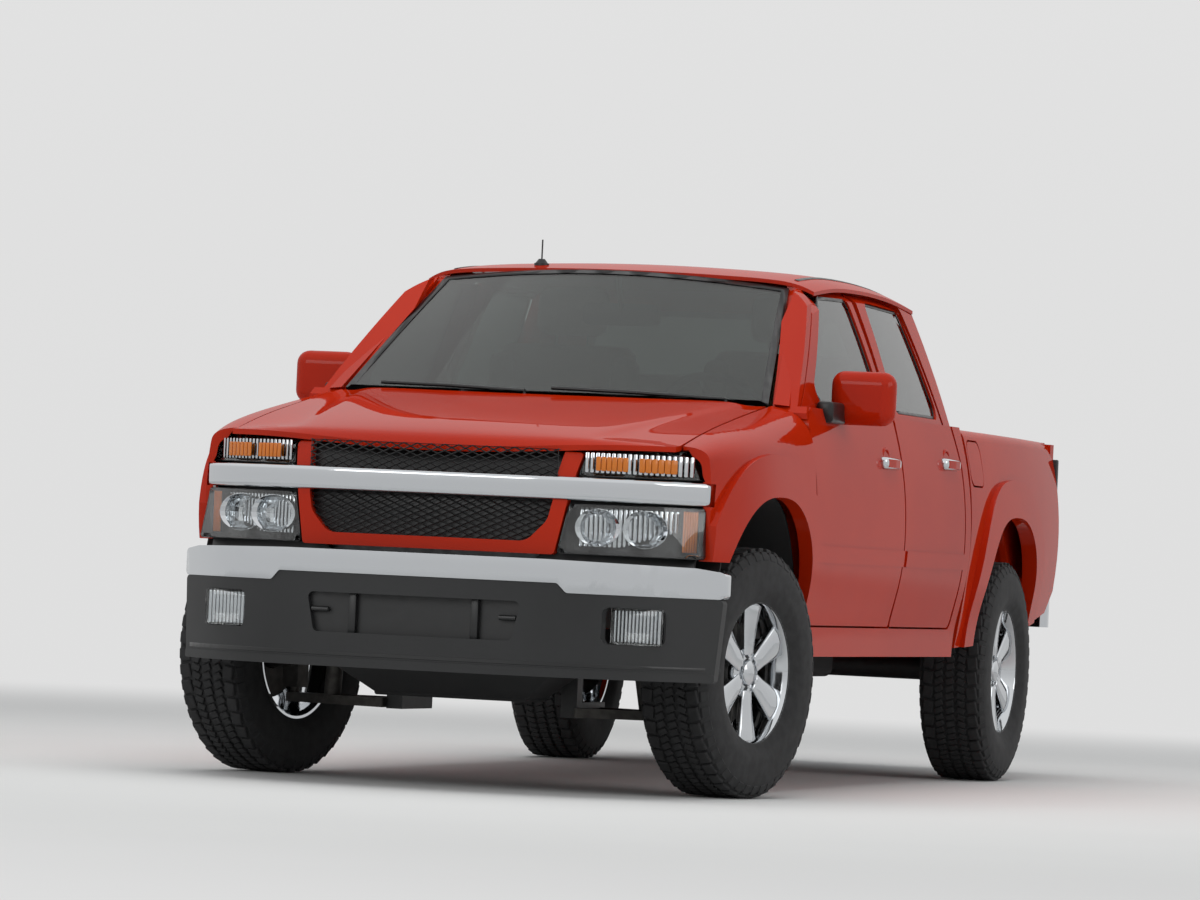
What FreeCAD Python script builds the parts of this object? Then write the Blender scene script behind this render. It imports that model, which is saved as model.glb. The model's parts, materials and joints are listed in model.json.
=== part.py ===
import FreeCAD, Part
import math
import os

V = FreeCAD.Vector

# Mid-size crew cab pickup truck, millimetres. +X is the vehicle's left, -Y its front, +Z up.
# The origin lies on the ground, midway between the foremost and the rearmost point.

# Whole vehicle
LENGTH = 5260.0
WHEELBASE = 3200.0
FRONT_OVERHANG = 890.0
HALF_WIDTH = 856.0
GAP = 6.0               # running gap round doors, hood, tailgate and fuel door
SEAT = 0.3              # gap between curved faces of neighbouring pieces
PANEL = 22.0            # depth of a pressed panel with its folded rim

# Wheels and steering
TYRE_R = 376.0
TYRE_W = 235.0
RIM_R = 222.0
RIM_BARREL_R = 190.0
RIM_WALL = 9.0
RIM_W = 196.0
HALF_TRACK = 730.5
FACE_OUT = 62.0         # wheel's mounting face, out from the wheel's middle plane
KINGPIN_X = 645.0
STEER_LEFT = -12.5      # parked turned to the vehicle's right
STEER_RIGHT = -13.7
STEER_RATIO = 15.0

# Painted side, measured up from the ground and back from the front axle
SILL_Z = 425.0
DOOR_BOTTOM_Z = 522.0
WIDEST_Z = 800.0
BELT_Z = 1192.0
SILL_TUCK = 50.0
BELT_LEAN = 58.0
FENDER_FRONT = -502.0
DOOR_FRONT = 478.0
DOOR_SPLIT = 1610.0
DOOR_REAR = 2440.0
CAB_REAR = 2520.0
BED_GAP = 26.0
FENDER_TOP_Z = 990.0
HOOD_EDGE_X = 690.0

# Wheel arches and flares
ARCH_HALF = 448.0
ARCH_TOP_Z = 905.0
ARCH_POWER = 2.6
FLARE_OUT = 18.0
FLARE_W = 128.0         # band between the arch's opening and the flare's outer edge

# Cab
GLASS_TOP_Z = 1577.0
CAB_TOP_Z = 1602.0      # cab sides end here, under the roof
ROOF_Z = 1665.0
ROOF_EDGE_X = 540.0
ROOF_T = 12.0
ROOF_DROP = 13.0        # a door's top swings out under the roof's lower edge
SIDE_LEAN = 144.0
CAB_SLOPE = 0.3         # a layer of the cab side sinks by this share of its depth
PILLAR_FOOT = 472.0
PILLAR_FOOT_X = 690.0
PILLAR_HEAD = 1097.0
PILLAR_HEAD_X = 572.0
PILLAR_HEAD_Z = 1593.0
GLASS_T = 5.0
FLOOR_Z = 575.0
FLANGE = 30.0           # door's outer rim over the seal face of its opening
DOOR_SKIN = 36.0
DOOR_DEPTH = 96.0
CAB_SKIN = 30.0
CAB_DEPTH = 62.0
LAP = 2.0               # overlap of the layers that make one solid
RIB_Z = 716.0
RIB_TALL = 52.0
RIB_OUT = 7.0
DOOR_SWEEP = 0.22       # inward slope of a door's rear face, which lets it swing clear

# Hood and nose
HOOD_FRONT_Z = 1022.0
HOOD_REAR_Z = 1205.0
HOOD_REAR = 428.0
HOOD_RAISE = 14.0
HOOD_T = 16.0
COWL_LOW_Z = 1125.0
HOOD_HINGE = 424.0
HOOD_HINGE_Z = 1168.0
NOSE = -787.0
NOSE_SWEEP = 285.0
NOSE_HALF = 777.0
NOSE_POWER = 3.0
BUMPER_HALF = 838.0
BAR_DEPTH = 60.0
LAMP_DEPTH = 60.0
SURROUND_DEPTH = 34.0

# Bed
RAIL_Z = 1188.0
BED_LENGTH = 1510.0
BED_HALF = 715.0
BED_FLOOR_Z = 735.0
BED_WALL = 50.0
TAILGATE_T = 62.0
HOUSING_X = 560.0
BED_BOTTOM_Z = 500.0

# Chassis
RAIL_HEIGHT = 140.0
RAIL_W = 70.0
RAIL_OUT_FRONT = 395.0
RAIL_OUT = 500.0
AXLE_TUBE_R = 42.0
FLOOR_T = 25.0
BED_FLOOR_T = 35.0
GEARBOX_Z = 480.0
DIFF_HALF = 95.0
ARM_X = 300.0           # inner end of the lower suspension arms
STRUT_TOP_Z = 676.0
ARM_LOW_Z = 246.0
ARM_HIGH_Z = 545.0
HITCH_R = 14.0

# Joint places worked out from the sizes above
nose_y = -LENGTH / 2
tail_y = LENGTH / 2
front_axle_y = nose_y + FRONT_OVERHANG
rear_axle_y = front_axle_y + WHEELBASE
cab_rear_y = front_axle_y + CAB_REAR
bed_front_y = cab_rear_y + BED_GAP
bed_inside_y = bed_front_y + BED_WALL
gate_inner_y = bed_inside_y + BED_LENGTH + GAP
gate_outer_y = gate_inner_y + TAILGATE_T
axle_z = TYRE_R
GATE_PIN_Y = gate_outer_y - 15.0
GATE_PIN_Z = 688.0


def fy(back):
    """Place measured back from the front axle."""
    return front_axle_y + back


def smooth(t):
    """Runs from 0 to 1 with level ends."""
    t = min(max(t, 0.0), 1.0)
    return t * t * (3.0 - 2.0 * t)


def even(low, high, count):
    return [low + (high - low) * i / (count - 1) for i in range(count)]


# General shapes

def box(x0, x1, y0, y1, z0, z1):
    corner = V(min(x0, x1), min(y0, y1), min(z0, z1))
    return Part.makeBox(abs(x1 - x0), abs(y1 - y0), abs(z1 - z0), corner)


def rounded_wire(points, radius):
    """Closed outline of straight runs with an arc at each corner that has room for it."""
    count = len(points)
    starts = []
    for i in range(count):
        corner = points[i]
        before = points[i - 1] - corner
        after = points[(i + 1) % count] - corner
        half = before.getAngle(after) / 2
        run = min(before.Length, after.Length)
        r = radius[i] if isinstance(radius, list) else radius
        reach = min(r / math.tan(half), 0.49 * run) if half > 0.01 else 0.0
        r = reach * math.tan(half)
        if reach < 0.05 or abs(half - math.pi / 2) < 0.005:
            starts.append((corner, corner, corner))
            continue
        a = corner + before * (reach / before.Length)
        b = corner + after * (reach / after.Length)
        middle = (a + b) * 0.5 - corner
        hub = corner + middle * (math.hypot(r, reach) / middle.Length)
        top = hub + (corner - hub) * (r / (corner - hub).Length)
        starts.append((a, top, b))
    edges = []
    for i in range(count):
        a, top, b = starts[i]
        if (b - a).Length > 0.01:
            edges.append(Part.Arc(a, top, b).toShape())
        next_a = starts[(i + 1) % count][0]
        if (next_a - b).Length > 0.01:
            edges.append(Part.LineSegment(b, next_a).toShape())
    return Part.Wire(edges)


def prism(points, plane, low, high, radius=0.0):
    """Outline in one plane, extruded square to it. Plane names the axis it looks along."""
    if plane == "x":
        spots = [V(low, a, b) for a, b in points]
        along = V(high - low, 0, 0)
    elif plane == "y":
        spots = [V(a, low, b) for a, b in points]
        along = V(0, high - low, 0)
    else:
        spots = [V(a, b, low) for a, b in points]
        along = V(0, 0, high - low)
    return Part.Face(rounded_wire(spots, radius)).extrude(along)


def rod(start, end, r):
    along = end - start
    return Part.makeCylinder(r, along.Length, start, along)


def tube(start, end, outer, inner):
    along = end - start
    return rod(start, end, outer).cut(Part.makeCylinder(inner, along.Length, start, along))


def sheet(place, us, vs):
    """Smooth face drawn by the net of points that place(u, v) gives."""
    degrees = []
    knots = []
    mults = []
    for count in (len(us), len(vs)):
        degree = min(3, count - 1)
        degrees.append(degree)
        knots.append(list(range(count - degree + 1)))
        mults.append([degree + 1] + [1] * (count - degree - 1) + [degree + 1])
    poles = [[place(u, v) for v in vs] for u in us]
    surface = Part.BSplineSurface()
    surface.buildFromPolesMultsKnots(poles, mults[0], mults[1], knots[0], knots[1],
                                     False, False, degrees[0], degrees[1])
    return surface.toShape()


def turned(points, centre, x_base):
    """Ring turned about an axis along X, from (distance along X, radius) points."""
    spots = [V(x_base + a, centre.y, centre.z + r) for a, r in points]
    face = Part.Face(Part.makePolygon(spots + [spots[0]]))
    return face.revolve(centre, V(1, 0, 0), 360)


def mirrored(shape):
    return shape.mirror(V(0, 0, 0), V(1, 0, 0))


def both(shape):
    return [shape, mirrored(shape)]


def joined(shapes):
    return shapes[0].fuse(shapes[1:])


def save(name, *shapes):
    solids = []
    for shape in shapes:
        solids.extend(shape.Solids)
    whole = solids[0] if len(solids) == 1 else Part.makeCompound(solids)
    whole.exportStep("parts/" + name + ".step")


# Painted side

def side_x(back, z):
    """Half-width of the painted side between its flares."""
    if z > WIDEST_Z:
        section = BELT_LEAN * ((z - WIDEST_Z) / (BELT_Z - WIDEST_Z)) ** 2.2
    else:
        section = SILL_TUCK * ((WIDEST_Z - z) / (WIDEST_Z - DOOR_BOTTOM_Z)) ** 2
        section = min(section, SILL_TUCK)
    front = 66.0 * (max(-back, 0.0) / 500.0) ** 2.5
    rear = 70.0 * (max(back - CAB_REAR, 0.0) / 1700.0) ** 2.4
    return HALF_WIDTH - section - front - rear


def arch_outline(wheel_back, grow=0.0):
    """Closed side outline of a wheel arch's opening, its foot below the sill."""
    half = ARCH_HALF + grow
    tall = ARCH_TOP_Z - SILL_Z + grow
    spots = []
    for angle in even(0.0, 180.0, 13):
        c = math.cos(math.radians(angle))
        s = math.sin(math.radians(angle))
        along = math.copysign(abs(c) ** (2 / ARCH_POWER), c) * half
        spots.append(V(0, fy(wheel_back + along), SILL_Z + s ** (2 / ARCH_POWER) * tall))
    curve = Part.BSplineCurve()
    curve.interpolate(spots)
    foot = SILL_Z - 400.0
    low = [spots[-1], V(0, spots[-1].y, foot), V(0, spots[0].y, foot), spots[0]]
    lines = [Part.LineSegment(low[i], low[i + 1]).toShape() for i in range(3)]
    return Part.Wire([curve.toShape()] + lines)


def arch_cutter(wheel_back, x0, x1, grow=0.0):
    face = Part.Face(arch_outline(wheel_back, grow))
    face.translate(V(x0, 0, 0))
    return face.extrude(V(x1 - x0, 0, 0))


def flare_band(wheel_back, backs, heights):
    """Raised band round one wheel arch, proud of the painted side."""
    slab = side_slab(backs, heights, FLARE_OUT + 6.0, -FLARE_OUT)
    band = arch_cutter(wheel_back, 600.0, 1000.0, FLARE_W).cut(arch_cutter(wheel_back, 590.0, 1010.0))
    return slab.common(band)


def side_slab(backs, heights, depth, inset=0.0):
    """Layer of the painted side below the belt, from inset to inset plus depth."""
    face = sheet(lambda b, z: V(side_x(b, z) - inset, fy(b), z), backs, heights)
    return face.extrude(V(-depth, 0, 0))


# Cab skin above the belt

def roof_z(x, back):
    """Height of the roof: crowned, falling to both ends, rolled down at its sides."""
    crown = 27.0 * (x / 560.0) ** 2
    roll = 24.0 * (max(abs(x) - ROOF_EDGE_X, 0.0) / 98.0) ** 2
    front = 45.0 * (max(1500.0 - back, 0.0) / 500.0) ** 2
    rear = 28.0 * (max(back - 1900.0, 0.0) / 550.0) ** 2
    return ROOF_Z - crown - roll - front - rear


def cab_x(back, z):
    """Half-width of the cab side above the belt."""
    t = (z - BELT_Z) / (GLASS_TOP_Z - BELT_Z)
    ends = 24.0 * ((back - 1500.0) / 1000.0) ** 2
    return HALF_WIDTH - BELT_LEAN - 6.0 - SIDE_LEAN * (0.82 * t + 0.18 * t * t) - ends


def cab_point(back, z):
    return V(cab_x(back, z), fy(back), z)


def cab_slab(backs, depth, inset=0.0, low=BELT_Z - 36.0):
    """Layer of the cab side above the belt, from inset to inset plus depth."""
    face = sheet(cab_point, backs, even(low, CAB_TOP_Z + 30.0, 5))
    face.translate(V(-inset, 0, -inset * CAB_SLOPE))
    return face.extrude(V(-depth, 0, -depth * CAB_SLOPE))


# Outlines of the doors in side view, back from the front axle and up from the ground

FRONT_DOOR = [(DOOR_FRONT, DOOR_BOTTOM_Z), (DOOR_FRONT, 1150.0), (600.0, 1228.0),
              (1118.0, 1590.0), (DOOR_SPLIT - GAP / 2, 1598.0), (DOOR_SPLIT - GAP / 2, DOOR_BOTTOM_Z)]
FRONT_DOOR_R = [20.0, 30.0, 60.0, 60.0, 8.0, 8.0]
REAR_DOOR = [(DOOR_SPLIT + GAP / 2, DOOR_BOTTOM_Z), (DOOR_SPLIT + GAP / 2, 1598.0),
             (2262.0, 1592.0), (DOOR_REAR - 36, 1200.0), (DOOR_REAR, 1060.0),
             (DOOR_REAR, DOOR_BOTTOM_Z)]
REAR_DOOR_R = [8.0, 8.0, 90.0, 60.0, 120.0, 30.0]
FRONT_GLASS = [(668.0, 1210.0), (1146.0, 1558.0), (1502.0, 1566.0), (1540.0, 1210.0)]
REAR_GLASS = [(1690.0, 1210.0), (1722.0, 1568.0), (2222.0, 1560.0), (2352.0, 1210.0)]


def grown(points, gap):
    """Outline moved outwards by gap, each corner along the mean of its sides' normals."""
    count = len(points)
    area = sum(points[i - 1][0] * points[i][1] - points[i][0] * points[i - 1][1]
               for i in range(count))
    turn = 1.0 if area > 0 else -1.0
    result = []
    for i in range(count):
        p, q, r = points[i - 1], points[i], points[(i + 1) % count]
        n1 = V(q[1] - p[1], p[0] - q[0], 0).normalize() * turn
        n2 = V(r[1] - q[1], q[0] - r[0], 0).normalize() * turn
        mean = n1 + n2
        mean = mean * (2.0 / mean.dot(mean))
        result.append((q[0] + mean.x * gap, q[1] + mean.y * gap))
    return result


def side_prism(points, radius, gap=0.0, x0=300.0, x1=1000.0):
    spots = [(fy(b), z) for b, z in grown(points, gap)]
    if isinstance(radius, list):
        radius = [max(r + gap, 1.0) for r in radius]
    return prism(spots, "x", x0, x1, radius)


def swept_prism(points, radius, gap, depth):
    """The same outline with its inner side set forward, which slopes the rear face."""
    outer_x = HALF_WIDTH + 30.0
    spots = [V(outer_x, fy(b), z) for b, z in grown(points, gap)]
    radii = [max(r + gap, 1.0) for r in radius]
    along = V(-depth, -depth * DOOR_SWEEP, 0)
    return Part.Face(rounded_wire(spots, radii)).extrude(along)


def door_metal(points, radius, window, backs):
    """One door: outer rim over the opening's seal face, inner box, window cut through."""
    heights = even(SILL_Z - 10, BELT_Z + 0.5, 11)
    rim = side_prism(points, radius).common(swept_prism(points, radius, 0.0, 400.0))
    core = side_prism(points, radius, -FLANGE).common(swept_prism(points, radius, -FLANGE, 400.0))
    skin = joined([side_slab(backs, heights, DOOR_SKIN).common(rim),
                   cab_slab(backs, CAB_SKIN).common(rim)])
    inner = joined([side_slab(backs, heights, DOOR_DEPTH - DOOR_SKIN + LAP, DOOR_SKIN - LAP).common(core),
                    cab_slab(backs, CAB_DEPTH - CAB_SKIN + LAP, CAB_SKIN - LAP).common(core)])
    return joined([skin, inner]).cut(side_prism(window, 40.0)).cut(roof_room(GAP + ROOF_DROP))


def door_glass(window, backs):
    return cab_slab(backs, GLASS_T, 9.0).common(side_prism(window, 40.0, -SEAT))


def doors():
    front_backs = even(DOOR_FRONT - 8, DOOR_SPLIT + 8, 7)
    rear_backs = even(DOOR_SPLIT - 8, DOOR_REAR + 8, 6)
    front = door_metal(FRONT_DOOR, FRONT_DOOR_R, FRONT_GLASS, front_backs)
    rear = door_metal(REAR_DOOR, REAR_DOOR_R, REAR_GLASS, rear_backs)
    front = joined([front, handle(1425.0, 1044.0), side_rib(FRONT_DOOR, FRONT_DOOR_R, front_backs)])
    rear = joined([rear, handle(2262.0, 1062.0), side_rib(REAR_DOOR, REAR_DOOR_R, rear_backs)])
    save("door_front_left", front)
    save("door_front_right", mirrored(front))
    save("door_rear_left", rear)
    save("door_rear_right", mirrored(rear))
    front_pane = door_glass(FRONT_GLASS, front_backs)
    rear_pane = door_glass(REAR_GLASS, rear_backs)
    save("glass_front_left", front_pane)
    save("glass_front_right", mirrored(front_pane))
    save("glass_rear_left", rear_pane)
    save("glass_rear_right", mirrored(rear_pane))


def side_rib(points, radius, backs):
    """Low raised band along a door, at the height of the wheel hub's top."""
    band = side_prism([(points[0][0] - 400, RIB_Z), (points[0][0] - 400, RIB_Z + RIB_TALL),
                       (points[0][0] + 1400, RIB_Z + RIB_TALL), (points[0][0] + 1400, RIB_Z)], 0.0)
    slab = side_slab(backs, even(SILL_Z - 10, BELT_Z + 0.5, 11), RIB_OUT + 4.0, -RIB_OUT)
    return slab.common(band).common(side_prism(points, radius, -14.0))


def handle(back, z):
    """Grab of a door handle, bowed out of the door's skin."""
    x = side_x(back, z)
    spots = [(x - 8, fy(back - 88)), (x + 20, fy(back - 74)), (x + 24, fy(back)),
             (x + 20, fy(back + 74)), (x - 8, fy(back + 88)), (x - 8, fy(back + 66)),
             (x + 10, fy(back + 56)), (x + 10, fy(back - 56)), (x - 8, fy(back - 66))]
    return prism(spots, "z", z - 13, z + 13, 6.0)


# Cab

def cab_side():
    """Side aperture panel: sill, hinge pillar, centre pillar, rear corner and roof rail."""
    backs = even(DOOR_FRONT - 40, CAB_REAR + 30, 9)
    heights = even(SILL_Z - 10, BELT_Z + 0.5, 11)
    seal = DOOR_SKIN + GAP
    cab_seal = CAB_SKIN + GAP
    outer = joined([side_slab(backs, heights, seal + LAP), cab_slab(backs, cab_seal + LAP)])
    inner = joined([side_slab(backs, heights, DOOR_DEPTH - seal, seal),
                    cab_slab(backs, CAB_DEPTH + 10.0 - cab_seal, cab_seal)])
    outline = [(DOOR_FRONT, SILL_Z), (DOOR_FRONT, 1172.0), (580.0, 1250.0), (1072.0, CAB_TOP_Z),
               (CAB_REAR - 66, CAB_TOP_Z), (CAB_REAR, BELT_Z), (CAB_REAR, SILL_Z)]
    trim = side_prism(outline, 0.0)
    outer = outer.common(trim)
    inner = inner.common(trim)
    for points, radius in ((FRONT_DOOR, FRONT_DOOR_R), (REAR_DOOR, REAR_DOOR_R)):
        outer = outer.cut(side_prism(points, radius, GAP))
        inner = inner.cut(side_prism(points, radius, -FLANGE + GAP + 4.0))
    screen_room = [(PILLAR_FOOT - 32, BELT_Z + 8), (PILLAR_FOOT, BELT_Z - 18), (PILLAR_HEAD, PILLAR_HEAD_Z - 20),
                   (PILLAR_HEAD + 13, 1650.0), (PILLAR_FOOT - 32, 1650.0)]
    inner = inner.cut(side_prism(screen_room, 0.0, 0.0, 500.0, 604.0))
    upper_skin_room = cab_slab(backs, cab_seal + 19.0, -20.0, BELT_Z - 52.0)
    inner = inner.cut(upper_skin_room.common(side_prism(FRONT_DOOR, FRONT_DOOR_R, GAP)))
    inner = inner.cut(upper_skin_room.common(side_prism(REAR_DOOR, REAR_DOOR_R, GAP)))
    post = pillar().cut(side_prism(FRONT_DOOR, FRONT_DOOR_R, GAP))
    return joined([outer, inner, post]).cut(roof_room(SEAT)).cut(side_prism(screen_room, 0.0, 0.0, 500.0, 592.0))


def pillar():
    """Windscreen pillar, from the cowl up to the roof."""
    foot = [(PILLAR_FOOT_X + 10.0, 474.0), (744.0, 492.0), (768.0, 590.0), (722.0, 590.0), (694.0, 520.0)]
    head = [(PILLAR_HEAD_X + 10.0, 1107.0), (612.0, 1112.0), (640.0, 1172.0), (606.0, 1184.0),
            (578.0, 1140.0)]
    low = [V(x, fy(b), 1196.0 - (b - 472.0) * 0.2) for x, b in foot]
    top = [V(x, fy(b), PILLAR_HEAD_Z + 6.0 - (b - 1097.0) * 0.1) for x, b in head]
    low_wire = Part.makePolygon(low + [low[0]])
    top_wire = Part.makePolygon(top + [top[0]])
    return Part.makeLoft([low_wire, top_wire], True, True)


def roof_face():
    """Outer face of the roof, run out past all its edges."""
    xs = [-720.0, -660.0, -620.0, -580.0, -530.0, -400.0, 0.0, 400.0, 530.0, 580.0, 620.0, 660.0, 720.0]
    backs = even(PILLAR_HEAD - 150, CAB_REAR + 90, 6)
    return sheet(lambda x, b: V(x, fy(b), roof_z(x, b)), xs, backs)


def roof_room(gap):
    """All that lies over the roof's underside, with the underside moved down by gap."""
    face = roof_face()
    face.translate(V(0, 0, -ROOF_T - gap))
    return face.extrude(V(0, 0, 220))


def roof():
    """Roof panel, whose front edge follows the windscreen's header."""
    half = 640.0
    front = [(x, fy(header_back(x))) for x in even(-572.0, 572.0, 7)]
    outline = front + [(half, fy(PILLAR_HEAD + 30)), (half - 6, fy(CAB_REAR - 60)),
                       (half - 60, fy(CAB_REAR - 4)), (60 - half, fy(CAB_REAR - 4)),
                       (6 - half, fy(CAB_REAR - 60)), (-half, fy(PILLAR_HEAD + 30))]
    skin = roof_face().extrude(V(0, 0, -ROOF_T))
    return skin.common(prism(outline, "z", 1400, 1800))


def header_back(x):
    """Plan line of the roof's front edge."""
    return PILLAR_HEAD - 4.0 - 64.0 * (1 - (x / 572.0) ** 2)


def roof_under(gap):
    """All that lies under the roof's outer face moved up by gap."""
    face = roof_face()
    face.translate(V(0, 0, gap))
    return face.extrude(V(0, 0, -220))


def on_roof(x, back):
    """Point of the roof's outer face over a place."""
    line = Part.makeLine(V(x, fy(back), 1500), V(x, fy(back), 1720))
    return line.distToShape(roof_face())[1][0][0]


def cab_rear(side):
    """Rear cab panel between the two sides, with its window cut out."""
    spots = [(-750.0, FLOOR_Z), (-750.0, 1150.0), (-600.0, 1560.0), (-560.0, 1660.0),
             (560.0, 1660.0), (600.0, 1560.0), (750.0, 1150.0), (750.0, FLOOR_Z)]
    panel = prism(spots, "y", fy(CAB_REAR - 46), fy(CAB_REAR - 2))
    window = [(-540.0, 1230.0), (-480.0, 1545.0), (480.0, 1545.0), (540.0, 1230.0)]
    panel = panel.cut(prism(window, "y", fy(CAB_REAR - 80), fy(CAB_REAR + 20), 50.0))
    panel = panel.cut(roof_room(SEAT))
    room = side.copy()
    room.translate(V(-SEAT, 0, 0))
    return panel.cut(room).cut(mirrored(room)).cut(side).cut(mirrored(side))


def rear_window():
    window = [(-540.0, 1230.0), (-480.0, 1545.0), (480.0, 1545.0), (540.0, 1230.0)]
    return prism(grown(window, -SEAT), "y", fy(CAB_REAR - 22), fy(CAB_REAR - 16), 50.0)


def windscreen_point(x, t):
    """On the windscreen: t from 0 at the cowl to 1 at the header."""
    half = PILLAR_FOOT_X + (PILLAR_HEAD_X - PILLAR_FOOT_X) * t
    bow = 128.0 - 58.0 * t
    back = PILLAR_FOOT + (PILLAR_HEAD - PILLAR_FOOT) * t
    back -= bow * (1 - (x / PILLAR_FOOT_X) ** 2) + 8.0 * math.sin(math.pi * t)
    z = BELT_Z + 2.0 + (PILLAR_HEAD_Z - BELT_Z - 2.0) * t + 26.0 * t * (1 - (x / half) ** 2)
    return V(x * half / PILLAR_FOOT_X, fy(back), z)


def windscreen():
    face = sheet(windscreen_point, even(-PILLAR_FOOT_X + 6, PILLAR_FOOT_X - 6, 7), even(0.0, 0.985, 5))
    return face.extrude(V(0, GLASS_T + 1, -GLASS_T))


def cab_floor():
    """Floor pan with its tunnel and sill beams, and the firewall that rises from it."""
    edge = HALF_WIDTH - SILL_TUCK - DOOR_DEPTH - SEAT
    low = FLOOR_Z - FLOOR_T
    face = DOOR_FRONT - SEAT
    floor = box(-edge, edge, fy(face - 5), fy(CAB_REAR - 50), low, FLOOR_Z)
    sills = [box(side * 650, side * edge, fy(face - 5), fy(CAB_REAR - 50), 480, low + 5) for side in (1, -1)]
    tunnel = prism([(-170, low), (-120, FLOOR_Z + 120), (120, FLOOR_Z + 120),
                    (170, low)], "y", fy(face - 5), fy(1900), 30.0)
    hollow = prism([(-150, low - 60), (-110, FLOOR_Z + 95), (110, FLOOR_Z + 95),
                    (150, low - 60)], "y", fy(400), fy(1880), 25.0)
    wall = box(-756, 756, fy(face - 12), fy(face), low, COWL_LOW_Z - SEAT)
    return joined([floor, tunnel, wall] + sills).cut(hollow)


def cowl():
    """Vent panel between the hood and the windscreen."""
    spots = [(x, fy(HOOD_REAR + 6 - 100 * (1 - (x / 690.0) ** 2))) for x in even(-690, 690, 7)]
    back = [(x, fy(500 - 100 * (1 - (x / 690.0) ** 2))) for x in even(690, -690, 7)]
    panel = prism(spots + back, "z", COWL_LOW_Z, 1162)
    front = [(x, fy(476 - 128 * (1 - (x / 690.0) ** 2))) for x in even(-640, 640, 7)]
    rear = [(x, y + 16) for x, y in reversed(front)]
    return panel.fuse(prism(front + rear, "z", 1150, BELT_Z + 2 - GLASS_T - SEAT))


def dashboard():
    profile = [(fy(DOOR_FRONT), 880.0), (fy(DOOR_FRONT), 1108.0), (fy(520), 1122.0),
               (fy(590), 1190.0), (fy(800), 1178.0),
               (fy(850), 1110.0), (fy(800), 930.0), (fy(690), 860.0)]
    return prism(profile, "x", -655, 655, 20.0)


def steering_wheel():
    """Rim, hub and three spokes, on an axis that leans back from level."""
    hub = V(365, fy(1010), 1120)
    axis = V(0, math.cos(math.radians(26)), math.sin(math.radians(26)))
    up = V(0, -axis.z, axis.y)
    spots = []
    for angle in range(0, 360, 60):
        a = math.radians(angle)
        spots.append(hub + up * (182 + 15 * math.cos(a)) + axis * (15 * math.sin(a)))
    ring = Part.Face(Part.makePolygon(spots + [spots[0]])).revolve(hub, axis, 360)
    boss = Part.makeCylinder(52, 40, hub - axis * 34, axis)
    parts = [ring, boss]
    for angle in (0, 180, 270):
        a = math.radians(angle)
        end = hub + V(1, 0, 0) * (178 * math.cos(a)) + up * (178 * math.sin(a))
        parts.append(rod(hub, end, 11))
    wheel = joined(parts)
    wheel.rotate(hub, axis, STEER_LEFT * STEER_RATIO)
    return wheel


def steering_column():
    hub = V(365, fy(1010), 1120)
    axis = V(0, math.cos(math.radians(26)), math.sin(math.radians(26)))
    return rod(hub - axis * (34 + SEAT), hub - axis * 250, 30)


def front_seat():
    cushion = prism([(fy(1180), 760), (fy(1180), 900), (fy(1240), 930), (fy(1680), 880),
                     (fy(1700), 760)], "x", 105, 625, 40.0)
    back = prism([(fy(1650), 870), (fy(1790), 1400), (fy(1880), 1410), (fy(1830), 780),
                  (fy(1700), 780)], "x", 115, 615, 45.0)
    head = prism([(240, 1420), (240, 1590), (490, 1590), (490, 1420)], "y", fy(1800), fy(1900), 45.0)
    base = box(160, 570, fy(1240), fy(1650), FLOOR_Z, 768)
    post = box(345, 385, fy(1830), fy(1860), 1390, 1440)
    return joined([cushion, back, head, base, post])


def rear_seat():
    cushion = prism([(fy(1960), 700), (fy(1960), 860), (fy(2020), 890), (fy(2380), 850),
                     (fy(2380), 700)], "x", -640, 640, 40.0)
    back = prism([(fy(2330), 830), (fy(2400), 1330), (fy(2462), 1330), (fy(2462), 700),
                  (fy(2380), 700)], "x", -640, 640, 28.0)
    base = box(-560, 560, fy(2080), fy(2380), FLOOR_Z, 710)
    return joined([cushion, back, base])


def console():
    return prism([(fy(900), FLOOR_Z + 120), (fy(900), 800), (fy(1200), 820), (fy(1600), 860),
                  (fy(1620), FLOOR_Z + 120)], "x", -92, 92, 25.0)


def interior_mirror():
    head = prism([(-125, 1440), (-125, 1510), (125, 1510), (125, 1440)], "y", fy(1150), fy(1180), 20.0)
    top = on_roof(0.0, 1100.0) - V(0, 0, ROOF_T + 2 * SEAT + 1.0)
    return joined([head, rod(V(0, fy(1160), 1480), V(0, fy(1103), top.z - 6), 9),
                   rod(V(0, fy(1100), top.z - 10), top, 12)])


# Hood and fenders

def hood_edge_z(back):
    t = (back - FENDER_FRONT) / (HOOD_REAR - FENDER_FRONT)
    return 1036.0 + 150.0 * t ** 0.8 if t > 0 else 1036.0


def ridge_x(back):
    """Half-distance between the hood's two creases."""
    return 445.0 + 165.0 * (back + 700.0) / 1130.0


def hood_z(x, back):
    """Height of the hood's skin: crowned, with a raised middle between two creases."""
    t = max(back + 740.0, 0.0) / (HOOD_REAR + 740.0)
    middle = HOOD_FRONT_Z + 8.0 + (HOOD_REAR_Z - HOOD_FRONT_Z - 22.0) * t ** 0.8
    edge = hood_edge_z(back)
    side = min(abs(x) / HOOD_EDGE_X, 1.0)
    raised = HOOD_RAISE * smooth((ridge_x(back) + 30.0 - abs(x)) / 60.0)
    raised *= smooth((back - hood_front(x)) / 190.0)
    lip = 24.0 * (1 - 0.9 * side ** 2) * max(0.0, 1 - (back - hood_front(x)) / 45.0) ** 2
    return middle - (middle - edge) * side ** 2 + raised - lip


def hood_front(x):
    """Plan line of the hood's leading edge."""
    return -742.0 + 172.0 * (abs(x) / 677.0) ** 2.4


def hood_rear(x):
    return HOOD_REAR - 105.0 * (1 - (x / HOOD_EDGE_X) ** 2)


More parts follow.
